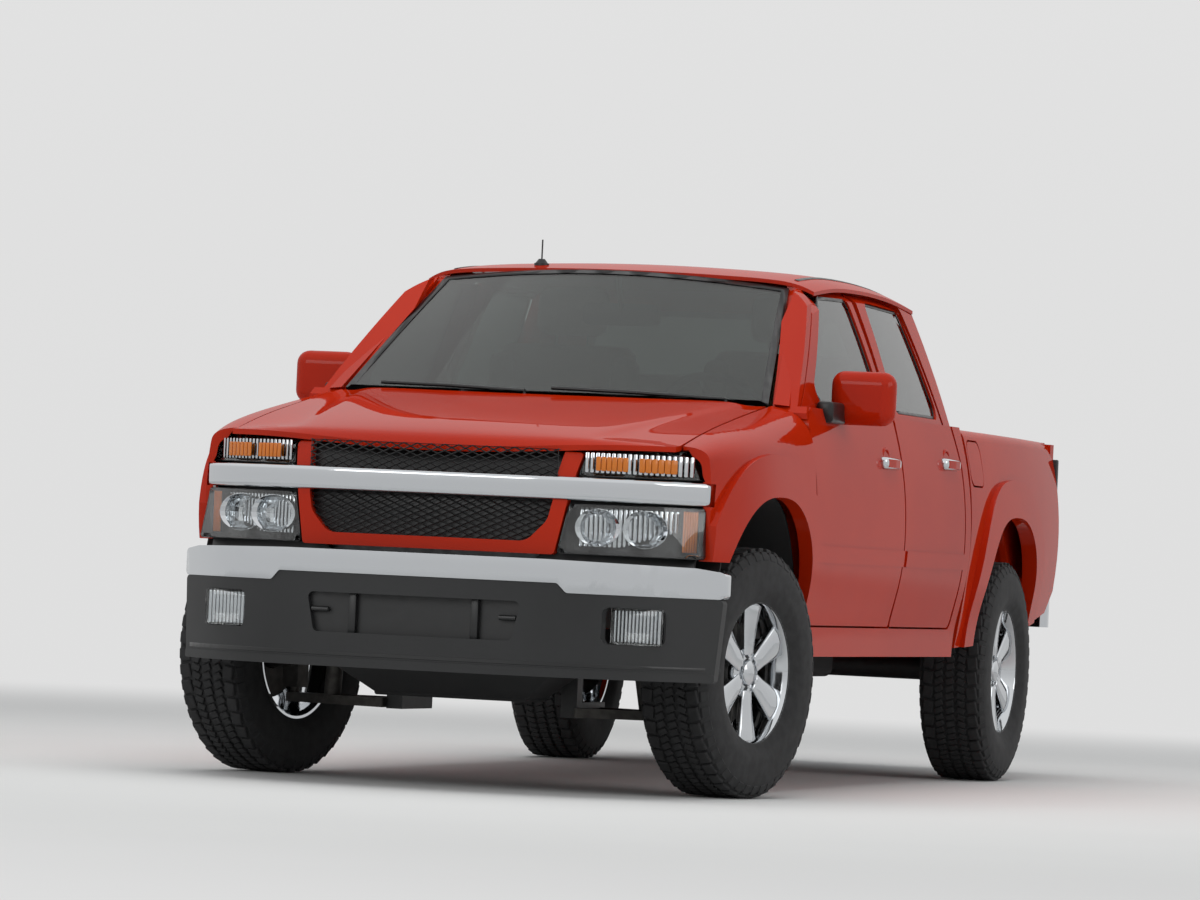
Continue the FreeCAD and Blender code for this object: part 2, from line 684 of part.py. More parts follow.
def hood_point(k, t):
    """k runs across: 0 in the middle, 0.6 to 0.7 over a crease, 1 at the edge."""
    ridge = ridge_x(-740.0 + t * (HOOD_REAR + 740.0))
    edge = HOOD_EDGE_X - GAP / 2
    share = abs(k)
    if share <= 0.6:
        x = share / 0.6 * (ridge - 30.0)
    elif share <= 0.7:
        x = ridge - 30.0 + (share - 0.6) / 0.1 * 60.0
    else:
        x = ridge + 30.0 + (share - 0.7) / 0.3 * (edge - ridge - 30.0)
    x = math.copysign(x, k)
    back = hood_front(x) + (hood_rear(x) - hood_front(x)) * t
    return V(x, fy(back), hood_z(x, back))


def hood():
    half = [0.0, 0.2, 0.4, 0.6, 0.65, 0.7, 0.85, 1.0]
    across = [-k for k in reversed(half[1:])] + half
    along = [0.0, 0.01, 0.025, 0.045, 0.1, 0.25, 0.5, 0.75, 1.0]
    return sheet(hood_point, across, along).extrude(V(0, 0, -HOOD_T))


def hood_room():
    """What the closed hood takes up over the nose, with its running gap."""
    across = [-1.02, -0.85, -0.7, -0.65, -0.6, -0.4, 0.0, 0.4, 0.6, 0.65, 0.7, 0.85, 1.02]
    face = sheet(hood_point, across, [-0.03, 0.0, 0.01, 0.025, 0.045, 0.1, 0.2])
    face.translate(V(0, 0, -HOOD_T - GAP))
    return face.extrude(V(0, 0, 90))


def fender_point(back, s):
    """Fender section: s from 0 at its foot to 1 at the crest, then to 2 at the hood."""
    if s <= 1.0:
        z = SILL_Z + s * (FENDER_TOP_Z - SILL_Z)
        return V(side_x(back, z), fy(back), z)
    turn = (s - 1.0) * math.pi / 2
    top = hood_edge_z(back)
    inner = HOOD_EDGE_X - 12.0
    outer = side_x(back, FENDER_TOP_Z)
    z = FENDER_TOP_Z + (top - FENDER_TOP_Z) * math.sin(turn) ** 0.8
    x = inner + (outer - inner) * math.cos(turn) ** 0.8
    return V(x, fy(back), z)


def fender():
    backs = even(FENDER_FRONT - 12, DOOR_FRONT + 4, 8)
    rows = [0.0, 0.3, 0.6, 0.9, 1.0, 1.2, 1.4, 1.6, 1.8, 2.0]
    skin = sheet(fender_point, backs, rows).extrude(V(-PANEL, 0, -PANEL))
    rear = DOOR_FRONT - GAP - 1.0
    outline = [(FENDER_FRONT, 702.0), (FENDER_FRONT, 1300.0), (rear, 1300.0),
               (rear, SILL_Z), (0.0, SILL_Z), (0.0, 702.0)]
    trim = side_prism(outline, 0.0, 0.0, HOOD_EDGE_X + GAP / 2)
    band = flare_band(0.0, backs, even(SILL_Z - 10, FENDER_TOP_Z + 90, 7)).common(trim)
    skin = joined([skin.common(trim), band]).cut(arch_cutter(0.0, 500.0, 1000.0))
    lamp_room = nose_piece(grown(UPPER_LAMP, 3.0), 140.0, 10.0, 12.0, -380.0)
    liner_room = arch_cutter(0.0, 390.0, 800.0 + SEAT, 14.0 + SEAT)
    liner_room = liner_room.cut(arch_cutter(0.0, 380.0, 820.0, 6.0 - SEAT))
    skin = skin.cut(lamp_room).cut(nose_bar_room()).cut(liner_room)
    foot = box(762, 818, fy(452), fy(DOOR_FRONT) - SEAT, 760, 880)
    bracket = foot.fuse(box(800, 862, fy(452), fy(466), 760, 880))
    pin = rod(V(HOOD_EDGE_X - GAP / 2 + SEAT, fy(HOOD_HINGE), HOOD_HINGE_Z),
              V(HOOD_EDGE_X + 20, fy(HOOD_HINGE), HOOD_HINGE_Z), 5)
    return joined([skin, bracket, pin])


def wheel_liner(wheel_back, inner, outer):
    """Arched liner over a wheel, one sheet."""
    shell = arch_cutter(wheel_back, inner, outer, 14.0).cut(
        arch_cutter(wheel_back, inner - 5, outer + 5, 6.0))
    return shell.common(box(0, 1200, fy(wheel_back - 900), fy(wheel_back + 900), 560, 1200))


def inner_fender():
    side = RAIL_OUT_FRONT + SEAT
    wall = prism([(fy(-560), 620), (fy(-560), 960), (fy(380), 1060), (fy(405), 1060), (fy(405), 700),
                  (fy(-90), 700), (fy(-90), 706), (fy(-230), 706), (fy(-230), 620)],
                 "x", side, side + 12, 4.0)
    return joined([wall, wheel_liner(0.0, side + 4, 800.0)])


# Nose

def nose_back(x, z):
    """Front face of the nose: bowed in plan, leaning back towards its top."""
    lean = 62.0 * (max(z - 850.0, 0.0) / 170.0) ** 1.9
    low = 63.0 * max(850.0 - z, 0.0) / 150.0
    share = abs(x) / NOSE_HALF
    return NOSE + lean + (NOSE_SWEEP - low) * share ** NOSE_POWER


def nose_face(offset):
    """Front face of the nose, moved backwards by offset."""
    face = sheet(lambda x, z: V(x, fy(nose_back(x, z)), z), even(-NOSE_HALF - 16, NOSE_HALF + 16, 11),
                 even(620.0, 1050.0, 7))
    face.translate(V(0, offset, 0))
    return face


def nose_piece(points, depth, radius=12.0, proud=0.0, rear=FENDER_FRONT - 2.0):
    """Piece of the nose: the front face thickened backwards and cut to an outline."""
    slab = nose_face(-proud).extrude(V(0, depth, 0))
    return slab.common(prism(points, "y", fy(-1000), fy(rear), radius))


UPPER_LAMP = [(448.0, 1000.0), (437.0, 934.0), (784.0, 938.0), (782.0, 985.0), (752.0, 1018.0), (720.0, 1024.0)]
LOWER_LAMP = [(420.0, 852.0), (393.0, 706.0), (777.0, 706.0), (771.0, 856.0)]
UPPER_GRILLE = [(-394.0, 1040.0), (-376.0, 920.0), (376.0, 920.0), (394.0, 1040.0)]
LOWER_GRILLE = [(-376.0, 870.0), (-362.0, 800.0), (-305.0, 738.0), (305.0, 738.0), (362.0, 800.0), (376.0, 870.0)]
LOWER_GRILLE_R = [2.0, 60.0, 50.0, 50.0, 60.0, 2.0]


def nose_surround():
    points = [(-442.0, 1004.0), (-428.0, 930.0), (-414.0, 856.0), (-386.0, 702.0),
              (386.0, 702.0), (414.0, 856.0), (428.0, 930.0), (442.0, 1004.0)]
    panel = nose_piece(points, SURROUND_DEPTH).cut(hood_room())
    for hole, radius in ((UPPER_GRILLE, 6.0), (LOWER_GRILLE, LOWER_GRILLE_R)):
        panel = panel.cut(prism(hole, "y", fy(-1000), fy(-300), radius))
    web = nose_piece([(-420.0, 868.0), (-420.0, 924.0), (420.0, 924.0), (420.0, 868.0)], 11.0, 1.0, -23.0)
    return joined([panel, web]).cut(nose_bar_room())


def bar_layer(offset, depth):
    """Layer of the bright bar: bowed in plan only."""
    face = sheet(lambda x, z: V(x, fy(nose_back(x, 880.0) + offset), z), even(-800.0, 800.0, 11), [840.0, 950.0])
    return face.extrude(V(0, depth, 0))


def nose_bar_room():
    points = [(-790.0, 862.0), (-790.0, 930.0), (790.0, 930.0), (790.0, 862.0)]
    return bar_layer(-40.0, 62.0).common(prism(points, "y", fy(-1000), fy(-300), 2.0))


def nose_bar():
    """Bright bar across the whole nose."""
    points = [(-782.0, 866.0), (-782.0, 926.0), (782.0, 926.0), (782.0, 866.0)]
    return bar_layer(-6.0, 28.0 - SEAT).common(prism(points, "y", fy(-1000), fy(-470.0), 10.0))


def grille_mesh():
    points = [(-412.0, 1040.0), (-392.0, 715.0), (392.0, 715.0), (412.0, 1040.0)]
    return nose_piece(points, 8.0, 20.0, -SURROUND_DEPTH - SEAT).cut(hood_room())


def front_panel():
    """Carrier across the nose, behind the lamps and the grille."""
    low = 640.0 + SEAT
    points = [(-420.0, low), (-420.0, 676.0), (-748.0, 676.0), (-748.0, 790.0), (-768.0, 810.0),
              (-768.0, 985.0), (768.0, 985.0), (768.0, 810.0), (748.0, 790.0), (748.0, 676.0), (420.0, 676.0),
              (420.0, low)]
    panel = nose_piece(points, 18.0, 8.0, -LAMP_DEPTH - 4.0 - SEAT, -400.0)
    window = [(-330.0, 690.0), (-330.0, 975.0), (330.0, 975.0), (330.0, 690.0)]
    panel = panel.cut(prism(window, "y", fy(-1000), fy(-300), 20.0))
    tabs = [nose_piece([(side * 345.0, 880.0), (side * 345.0, 940.0), (side * 400.0, 940.0),
                        (side * 400.0, 880.0)], LAMP_DEPTH - SURROUND_DEPTH, 2.0,
                       -SURROUND_DEPTH - 8.0 - 2 * SEAT) for side in (1, -1)]
    return joined([panel] + tabs)


def lamps():
    upper = nose_piece(UPPER_LAMP, LAMP_DEPTH, 10.0, -4.0, -436.0).cut(hood_room())
    lower = nose_piece(LOWER_LAMP, LAMP_DEPTH, 10.0, -4.0)
    return upper, lower


# Bumpers

def bumper_back(x, grow=0.0):
    share = abs(x) / BUMPER_HALF
    return -FRONT_OVERHANG + grow + 396.0 * share ** 3.2


def bumper_piece(points, depth, grow=0.0, radius=14.0):
    low = min(z for x, z in points) - 5
    high = max(z for x, z in points) + 5
    face = sheet(lambda x, z: V(x, fy(bumper_back(x, grow)), z), even(-BUMPER_HALF - 6, BUMPER_HALF + 6, 15),
                 [low, high])
    slab = face.extrude(V(0, depth, 0))
    return slab.common(prism(points, "y", fy(-1100), fy(-300), radius))


def front_bumper_bar():
    points = [(-BUMPER_HALF, 592.0), (-BUMPER_HALF, 670.0), (-770.0, 681.0), (-400.0, 688.0), (400.0, 688.0),
              (770.0, 681.0), (BUMPER_HALF, 670.0), (BUMPER_HALF, 592.0), (452.0, 592.0), (426.0, 620.0),
              (-426.0, 620.0), (-452.0, 592.0)]
    return bumper_piece(points, BAR_DEPTH)


def front_bumper_cover():
    low = 592.0 - SEAT
    high = 620.0 - SEAT
    points = [(-835.0, low), (-820.0, 346.0), (820.0, 346.0), (835.0, low), (452.0, low), (426.0, high),
              (-426.0, high), (-452.0, low)]
    cover = bumper_piece(points, 46.0, 4.0)
    lip = bumper_piece([(-822.0, 346.0), (-822.0, 372.0), (822.0, 372.0), (822.0, 346.0)], 40.0, 0.0, 8.0)
    cover = cover.fuse(lip)
    hole = [(-327.0, 562.0), (-302.0, 446.0), (302.0, 446.0), (327.0, 562.0)]
    cover = cover.cut(prism(hole, "y", fy(-1100), fy(-300), 16.0))
    pocket = prism(FOG_POCKET, "y", fy(-1100), fy(-300), 20.0)
    return cover.cut(pocket).cut(mirrored(pocket))


FOG_POCKET = [(548.0, 448.0), (706.0, 448.0), (706.0, 556.0), (548.0, 556.0)]


def fog_lamp():
    """Flat lamp that fills its pocket, square to the road."""
    return prism(grown(FOG_POCKET, -SEAT), "y", fy(-668), fy(-640), 20.0)


def bumper_beam():
    """Steel beam that carries the bumper on the frame rails."""
    return box(-430, 430, fy(bumper_back(430.0) + BAR_DEPTH) + 4.6, fy(-740), 520, 640)


def rear_bumper():
    """Step bumper with a ball-hitch hole in its top."""
    inner = gate_outer_y + 20
    plan = [(-748.0, inner), (-748.0, tail_y - 120), (-670.0, tail_y - 36), (-400.0, tail_y), (400.0, tail_y),
            (670.0, tail_y - 36), (748.0, tail_y - 120), (748.0, inner)]
    face = [(-800.0, 528.0), (-480.0, 528.0), (-400.0, 480.0), (400.0, 480.0), (480.0, 528.0), (800.0, 528.0),
            (800.0, 652.0), (-800.0, 652.0)]
    body = prism(plan, "z", 470, 660, 40.0).common(prism(face, "y", inner - 20, tail_y + 20, 12.0))
    step = box(-330, 330, tail_y - 96, tail_y + 10, 604, 700)
    ball = Part.makeCylinder(HITCH_R, 300, V(0, tail_y - 60, 400), V(0, 0, 1))
    return body.cut(step).cut(ball)


# Bed

def bed_point(back, s):
    """Bed side section: s to 1 below the rail's knee, to 2 over it, to 3 across the rail."""
    knee = RAIL_Z - 42.0
    outer = side_x(back, knee)
    if s <= 1.0:
        z = BED_BOTTOM_Z - 60 + s * (knee - BED_BOTTOM_Z + 60)
        return V(side_x(back, z), fy(back), z)
    if s <= 2.0:
        turn = (s - 1.0) * math.pi / 2
        return V(outer - 42.0 * (1 - math.cos(turn)), fy(back), knee + 42.0 * math.sin(turn))
    return V(outer - 42.0 + (s - 2.0) * (BED_HALF - 15.0 - outer + 42.0), fy(back), RAIL_Z)


def bed_side():
    """Bed side: outer skin with its flare, rolled rail, and the straight inner wall."""
    front = CAB_REAR + BED_GAP
    rear = gate_outer_y - front_axle_y
    backs = even(front, rear, 9)
    rows = [0.0, 0.25, 0.5, 0.75, 0.9, 1.0, 1.33, 1.67, 2.0, 2.5, 3.0]
    skin = sheet(bed_point, backs, rows).extrude(V(-32.0, 0, -18.0))
    wall = box(BED_HALF, BED_HALF + 25, fy(front), fy(rear), BED_FLOOR_Z - BED_FLOOR_T, RAIL_Z - 8)
    post = box(BED_HALF, 752, fy(rear - 50), fy(rear), 640, RAIL_Z - 8)
    outline = [(front, SILL_Z + 30), (front, 1300.0), (rear, 1300.0), (rear, 660.0), (rear - 120, 580.0),
               (WHEELBASE + ARCH_HALF + FLARE_W, 545.0), (WHEELBASE + ARCH_HALF, 530.0), (WHEELBASE, 480.0)]
    trim = side_prism(outline, 0.0)
    band = flare_band(WHEELBASE, even(front - 20, rear, 7), even(SILL_Z - 10, 1120.0, 7)).common(trim)
    whole = joined([skin.common(trim), band, wall, post])
    whole = whole.cut(arch_cutter(WHEELBASE, 500.0, 1000.0))
    gate_room = box(0, BED_HALF + 9, gate_inner_y - GAP, fy(rear) + 20, 300, 1400)
    return whole.cut(gate_room)


def fuel_recess():
    """Pocket in the left bed side behind the fuel door."""
    return side_prism(FUEL_DOOR, 40.0, GAP, 792.0, 1000.0)


def bed_floor():
    """Bed floor with its two wheel housings."""
    floor = box(-BED_HALF + SEAT, BED_HALF - SEAT, bed_inside_y, bed_inside_y + BED_LENGTH - 2,
                BED_FLOOR_Z - BED_FLOOR_T, BED_FLOOR_Z)
    whole = floor
    for side in (1, -1):
        top = ARCH_TOP_Z + 30
        spots = [(fy(WHEELBASE - 500), BED_FLOOR_Z - BED_FLOOR_T), (fy(WHEELBASE - 450), top),
                 (fy(WHEELBASE + 450), top), (fy(WHEELBASE + 500), BED_FLOOR_Z - BED_FLOOR_T)]
        low, high = sorted((side * HOUSING_X, side * (BED_HALF - SEAT)))
        block = prism(spots, "x", low, high, 60.0)
        whole = whole.fuse(block)
        x0, x1 = sorted((side * (HOUSING_X + 14), side * 900.0))
        whole = whole.cut(arch_cutter(WHEELBASE, x0, x1, 4.0))
    return whole


def bed_front():
    return box(-BED_HALF + SEAT, BED_HALF - SEAT, bed_front_y, bed_inside_y - SEAT, BED_FLOOR_Z - BED_FLOOR_T,
               RAIL_Z - 24)


def tailgate():
    half = BED_HALF + 9 - GAP
    gate = box(-half, half, gate_inner_y, gate_outer_y, BED_FLOOR_Z - 62, RAIL_Z - 2)
    handle_cup = box(-95, 95, gate_outer_y - 22, gate_outer_y + 5, 1040, 1110)
    gate = gate.cut(handle_cup)
    grab = box(-80, 80, gate_outer_y - 14, gate_outer_y - 4, 1085, 1112)
    pins = [rod(V(side * (half - 20), GATE_PIN_Y, GATE_PIN_Z), V(side * (half + GAP - SEAT), GATE_PIN_Y, GATE_PIN_Z), 9)
            for side in (1, -1)]
    return joined([gate, grab] + pins)


def tail_lamp():
    spots = [(BED_HALF + 14, gate_outer_y + SEAT), (BED_HALF + 14, gate_outer_y + 20),
             (760, gate_outer_y + 16), (772, gate_outer_y + SEAT)]
    return prism(spots, "z", 800, 1120, 6.0)


FUEL_DOOR = [(2566.0, 1002.0), (2566.0, 1148.0), (2748.0, 1148.0), (2748.0, 1002.0)]


def fuel_door():
    slab = side_slab(even(2550.0, 2770.0, 4), even(980.0, 1170.0, 4), 6.0)
    return slab.common(side_prism(FUEL_DOOR, 40.0))


# Chassis and drive

def frame_rail(side):
    """One box rail: side profile with its kick-up over the rear axle, and its plan line."""
    end = gate_outer_y + 20 - SEAT
    cab_low = FLOOR_Z - FLOOR_T - RAIL_HEIGHT - SEAT
    bed_low = BED_FLOOR_Z - BED_FLOOR_T - RAIL_HEIGHT - SEAT
    low = [(fy(-760), 500.0), (fy(200), 500.0), (fy(400), cab_low), (rear_axle_y - 700, cab_low),
           (rear_axle_y - 330, bed_low), (rear_axle_y + 330, bed_low), (rear_axle_y + 600, 500.0),
           (end, 500.0)]
    high = [(y, z + RAIL_HEIGHT) for y, z in reversed(low)]
    profile = prism(low + high, "x", 200, 600, 60.0)
    inner = [(RAIL_OUT_FRONT - RAIL_W, fy(-760)), (RAIL_OUT_FRONT - RAIL_W, fy(450)),
             (RAIL_OUT - RAIL_W, fy(900)), (RAIL_OUT - RAIL_W, end)]
    outer = [(x + RAIL_W, y) for x, y in reversed(inner)]
    plan = prism(inner + outer, "z", 300, 900, 60.0)
    rail = profile.common(plan)
    return rail if side > 0 else mirrored(rail)


def chassis():
    parts = [frame_rail(1), frame_rail(-1)]
    members = ((fy(-700), 340.0, 530.0, 600.0), (fy(560), 390.0, 415.0, GEARBOX_Z - SEAT),
               (fy(1350), 440.0, 415.0, 470.0), (fy(2440), 440.0, 485.0, 540.0),
               (rear_axle_y + 420, 440.0, 560.0, 630.0), (gate_inner_y - 20, 440.0, 530.0, 600.0))
    for y, half, low, high in members:
        parts.append(box(-half, half, y - 30, y + 30, low, high))
    face = fy(-DIFF_HALF) - SEAT
    parts.append(box(-340, 340, face - 55, face, 380, 512))
    for side in (1, -1):
        parts.append(box(side * 250, side * (ARM_X - SEAT), face - 55, face, 215, 400))
        parts.append(box(side * 250, side * (ARM_X - SEAT), face - 55, fy(150), 215, 262))
        parts.append(box(side * 385, side * 480, fy(-195), fy(-125), STRUT_TOP_Z + SEAT, 696))
        parts.append(box(side * 385, side * 395, fy(-195), fy(-125), 630, 696))
    return joined(parts)


def rear_axle():
    reach = HALF_TRACK + FACE_OUT - SEAT
    tube_run = rod(V(-reach, rear_axle_y, axle_z), V(reach, rear_axle_y, axle_z), AXLE_TUBE_R)
    case = prism([(y * 130 + rear_axle_y, z * 130 + axle_z) for y, z in
                  ((-1, -0.5), (-0.5, -1), (0.5, -1), (1, -0.5), (1, 0.5), (0.5, 1), (-0.5, 1), (-1, 0.5))],
                 "x", -85, 85, 50.0)
    nose = Part.makeCone(80, 45, 150, V(0, rear_axle_y - 100, axle_z), V(0, -1, 0))
    return joined([tube_run, case, nose])


def leaf_spring():
    """Leaf pack over the axle, between a fixed eye and a shackle."""
    half = 620.0
    top = axle_z + AXLE_TUBE_R + 24.0 + SEAT
    spots = [V(510, rear_axle_y - half, top + 60), V(510, rear_axle_y, top),
             V(510, rear_axle_y + half, top + 60)]
    low = [V(p.x, p.y, p.z - 24.0) for p in spots]
    outline = [Part.Arc(spots[0], spots[1], spots[2]).toShape(),
               Part.LineSegment(spots[2], low[2]).toShape(),
               Part.Arc(low[2], low[1], low[0]).toShape(),
               Part.LineSegment(low[0], spots[0]).toShape()]
    pack = Part.Face(Part.Wire(outline)).extrude(V(58, 0, 0))
    eyes = [rod(V(RAIL_OUT + SEAT, p.y, p.z + 10), V(568, p.y, p.z + 10), 24)
            for p in (spots[0], spots[2])]
    return joined([pack] + eyes)


def front_suspension():
    """Upper and lower arms of one side, with the strut on the lower arm."""
    tip = KINGPIN_X + 20.0
    lower = prism([(ARM_X, fy(-190)), (tip, fy(-26)), (tip, fy(26)), (ARM_X, fy(150)),
                   (ARM_X, fy(100)), (520.0, fy(0)), (ARM_X, fy(-120))], "z", 218, ARM_LOW_Z, 8.0)
    root = RAIL_OUT_FRONT + SEAT
    upper = prism([(root, fy(-110)), (tip, fy(-20)), (tip, fy(20)), (root, fy(110)),
                   (root, fy(70)), (540.0, fy(0)), (root, fy(-70))], "z", ARM_HIGH_Z, 563, 8.0)
    strut = rod(V(500, fy(-70), 240), V(450, fy(-160), STRUT_TOP_Z - 8), 26)
    strut = joined([strut, rod(V(450, fy(-160), STRUT_TOP_Z - 20), V(450, fy(-160), STRUT_TOP_Z), 30)])
    return [joined([lower, strut]), upper]


def front_drive():
    """Differential case and the shafts to the front wheels."""
    case = prism([(y * DIFF_HALF + fy(0), z * DIFF_HALF + axle_z) for y, z in
                  ((-1, -0.5), (-0.5, -1), (0.5, -1), (1, -0.5), (1, 0.5), (0.5, 1), (-0.5, 1), (-1, 0.5))],
                 "x", -10, 120, 30.0)
    shaft = rod(V(-600, fy(0), axle_z), V(600, fy(0), axle_z), 16)
    return joined([case, shaft])


def engine():
    return prism([(fy(-470), 520), (fy(-470), 900), (fy(-420), 960), (fy(230), 960), (fy(260), 700),
                  (fy(260), 520)], "x", -270, 270, 30.0)


def radiator():
    return box(-330, 330, fy(-640), fy(-590), 640 + SEAT, 970)


def gearbox():
    return prism([(-105, fy(250)), (-80, fy(1150)), (80, fy(1150)), (105, fy(250))], "z", GEARBOX_Z, 640, 20.0)


def prop_shaft():
    front = V(0, fy(1150) + SEAT, 560)
    rear = V(0, rear_axle_y - 250 - SEAT, axle_z)
    inset = V(0, 14, 0)
    return joined([rod(front, front + inset, 46), rod(rear - inset, rear, 46),
                   rod(front + V(0, 10, 0), rear - V(0, 10, 0), 32)])


def exhaust():
    muffler = Part.makeCylinder(85, 620, V(-300, fy(1500), 400), V(0, 1, 0))
    pipe = rod(V(-300, fy(500), 400), V(-300, fy(1510), 400), 14.6)
    tail = rod(V(-300, fy(2110), 400), V(-300, fy(2700), 400), 28)
    hangers = [box(-306, -294, fy(1340), fy(1360), 410, 415 - SEAT),
               box(-306, -294, fy(2430), fy(2450), 410, 485 - SEAT)]
    return joined([muffler, pipe, tail] + hangers)


def fuel_tank():
    side = RAIL_OUT - RAIL_W - SEAT
    return prism([(130, 340), (130, 520), (side, 520), (side, 340)], "y", fy(1500), fy(2400), 30.0)


def spare_tyre():
    y = rear_axle_y + 630
    ring = Part.makeCylinder(350, 190, V(0, y, 330), V(0, 0, 1))
    ring = ring.cut(Part.makeCylinder(190, 400, V(0, y, 200), V(0, 0, 1)))
    winch = box(-200, 200, y - 40, y + 40, 380, 420)
    hook = box(-30, 30, rear_axle_y + 400, rear_axle_y + 440, 410, 560 - SEAT)
    arm = box(-30, 30, rear_axle_y + 400, y + 40, 400, 420)
    return joined([ring, winch, arm, hook])


# Wheels

def tyre(centre, side):
    half = TYRE_W / 2
    bore = RIM_R - 14.0
    points = [(-half + 22, bore), (-half, bore + 60), (-half + 2, TYRE_R - 46), (-half + 26, TYRE_R),
              (half - 26, TYRE_R), (half - 2, TYRE_R - 46), (half, bore + 60), (half - 22, bore)]
    return turned(points, centre, centre.x)


def rim(centre, side):
    """Rim with its barrel, six spokes and hub."""
    half = RIM_W / 2
    r = RIM_R - 14.0 - SEAT
    barrel = [(-half, r), (-half + 12, r), (half - 12, r), (half, r), (half + 2, RIM_R - 2),
              (half + 6, RIM_R - 2), (half + 4, r - RIM_WALL), (-half, r - RIM_WALL)]
    barrel = [(side * a, b) for a, b in barrel]
    parts = [turned(barrel, centre, centre.x)]
    face_x = centre.x + side * FACE_OUT
    hub = Part.makeCylinder(78, 34, V(face_x, centre.y, centre.z), V(side, 0, 0))
    parts.append(hub)
    for i in range(6):
        spoke = box(face_x + side * 6, face_x + side * 30, centre.y - 26, centre.y + 26,
                    centre.z + 60, centre.z + r - 4)
        spoke.rotate(centre, V(1, 0, 0), i * 60.0)
        parts.append(spoke)
    return joined(parts)


def knuckle():
    """Left steering knuckle: upright, two ball-joint bosses and the hub."""
    c = V(KINGPIN_X, fy(0), axle_z)
    upright = box(KINGPIN_X - 28, KINGPIN_X + 26, fy(-30), fy(30), 262, 528)
    hub = rod(V(KINGPIN_X, c.y, c.z), V(HALF_TRACK + FACE_OUT - SEAT, c.y, c.z), 58)
    upper = rod(V(KINGPIN_X, c.y, 520), V(KINGPIN_X, c.y, ARM_HIGH_Z - SEAT), 14)
    lower = rod(V(KINGPIN_X, c.y, ARM_LOW_Z + SEAT), V(KINGPIN_X, c.y, 270), 14)
    bore = rod(V(KINGPIN_X - 60, c.y, c.z), V(KINGPIN_X + 10, c.y, c.z), 30)
    return joined([upright, hub, upper, lower]).cut(bore)


def wheels():
    for name, side, y, steer in (("front_left", 1, fy(0), STEER_LEFT), ("front_right", -1, fy(0), STEER_RIGHT),
                                 ("rear_left", 1, rear_axle_y, 0.0), ("rear_right", -1, rear_axle_y, 0.0)):
        centre = V(side * HALF_TRACK, y, axle_z)
        pieces = [tyre(centre, side), rim(centre, side)]
        if steer:
            for piece in pieces:
                piece.rotate(V(side * KINGPIN_X, y, axle_z), V(0, 0, 1), steer)
        save("tyre_" + name, pieces[0])
        save("rim_" + name, pieces[1])
    left = knuckle()
    right = mirrored(left)
    left.rotate(V(KINGPIN_X, fy(0), axle_z), V(0, 0, 1), STEER_LEFT)
    right.rotate(V(-KINGPIN_X, fy(0), axle_z), V(0, 0, 1), STEER_RIGHT)
    save("knuckle_left", left)
    save("knuckle_right", right)


# Outer fittings

def mirror_left():
    """Door mirror: body-colour head on a black arm."""
    head = prism([(838, 1152), (803, 1200), (792, 1250), (792, 1316), (985, 1316), (985, 1152)], "y",
                 fy(835), fy(925), [30.0, 20.0, 20.0, 30.0, 40.0, 40.0])
    arm = prism([(fy(690), 1196), (fy(690), 1260), (fy(835) - SEAT, 1250), (fy(835) - SEAT, 1196)],
                "x", 779.3, 800, 8.0)
    return head, arm


def antenna():
    foot = on_roof(-280.0, 1180.0) + V(0, 0, 2.0)
    base = Part.makeCone(24, 10, 18, foot, V(0, 0, 1)).fuse(Part.makeCylinder(2.5, 80, foot, V(0, 0, 1)))
    pad = Part.makeCylinder(24, 12, foot - V(0, 0, 8), V(0, 0, 1)).cut(roof_under(2 * SEAT))
    return base.fuse(pad)


def wiper(x0, x1):
    """Blade in two straight runs along the glass, and its pivot down to the cowl."""
    lift = V(0, -3, 9)
    a = windscreen_point(x0, 0.03) + lift
    middle = windscreen_point((x0 + x1) / 2, 0.02) + lift
    b = windscreen_point(x1, 0.0) + lift
    pivot = rod(V(b.x, b.y, 1162 + SEAT), b, 6)
    return joined([rod(a, middle, 6), rod(middle, b, 6), pivot])


def main():
    os.makedirs("parts", exist_ok=True)
    save("frame_chassis", joined([chassis(), bumper_beam()]))
    save("rear_axle", rear_axle())
    save("leaf_springs", *both(leaf_spring()))
    arms = front_suspension()
    save("front_suspension", *(both(arms[0]) + both(arms[1])))
    save("drive_shafts", front_drive(), prop_shaft())
    save("engine", joined([engine(), gearbox()]))
    save("radiator", radiator())
    save("exhaust", exhaust())
    save("fuel_tank", fuel_tank())
    save("spare_tyre", spare_tyre())
    wheels()
    save("cab_floor", cab_floor())
    side = cab_side()
    save("cab_sides", *both(side))
    save("roof", roof())
    save("cab_rear", cab_rear(side))
    save("cab_glass", windscreen(), rear_window())
    save("cowl", cowl())
    doors()
    save("hood", hood())
    save("fenders", *both(fender()))
    save("inner_fenders", *both(inner_fender()))
    save("nose_surround", nose_surround())
    save("nose_bar", nose_bar())
    save("grille_mesh", grille_mesh())
    save("front_panel", front_panel())
    upper, lower = lamps()
    save("front_lamps", *(both(upper) + both(lower) + both(fog_lamp())))
    save("front_bumper_bar", front_bumper_bar())
    save("front_bumper_cover", front_bumper_cover())
    save("rear_bumper", rear_bumper())
    side = bed_side()
    save("bed_sides", side.cut(fuel_recess()), mirrored(side))
    save("bed_floor", bed_floor(), bed_front())
    save("tailgate", tailgate())
    save("tail_lamps", *both(tail_lamp()))
    save("dashboard", joined([dashboard(), steering_column()]))
    save("steering_wheel", steering_wheel())
    save("front_seats", *both(front_seat()))
    save("rear_seat", rear_seat())
    save("console", console())
    save("fuel_door", fuel_door())
    head, arm = mirror_left()
    save("mirror_left", head, arm)
    save("mirror_right", mirrored(head), mirrored(arm))
    save("interior_mirror", interior_mirror())
    save("antenna", antenna())
    save("wipers", wiper(-560.0, -60.0), wiper(20.0, 560.0))


main()
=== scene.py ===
# Crew cab pickup truck in glossy orange-red paint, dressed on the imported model.

import json
import math

import bmesh
import bpy
from mathutils import Matrix, Vector


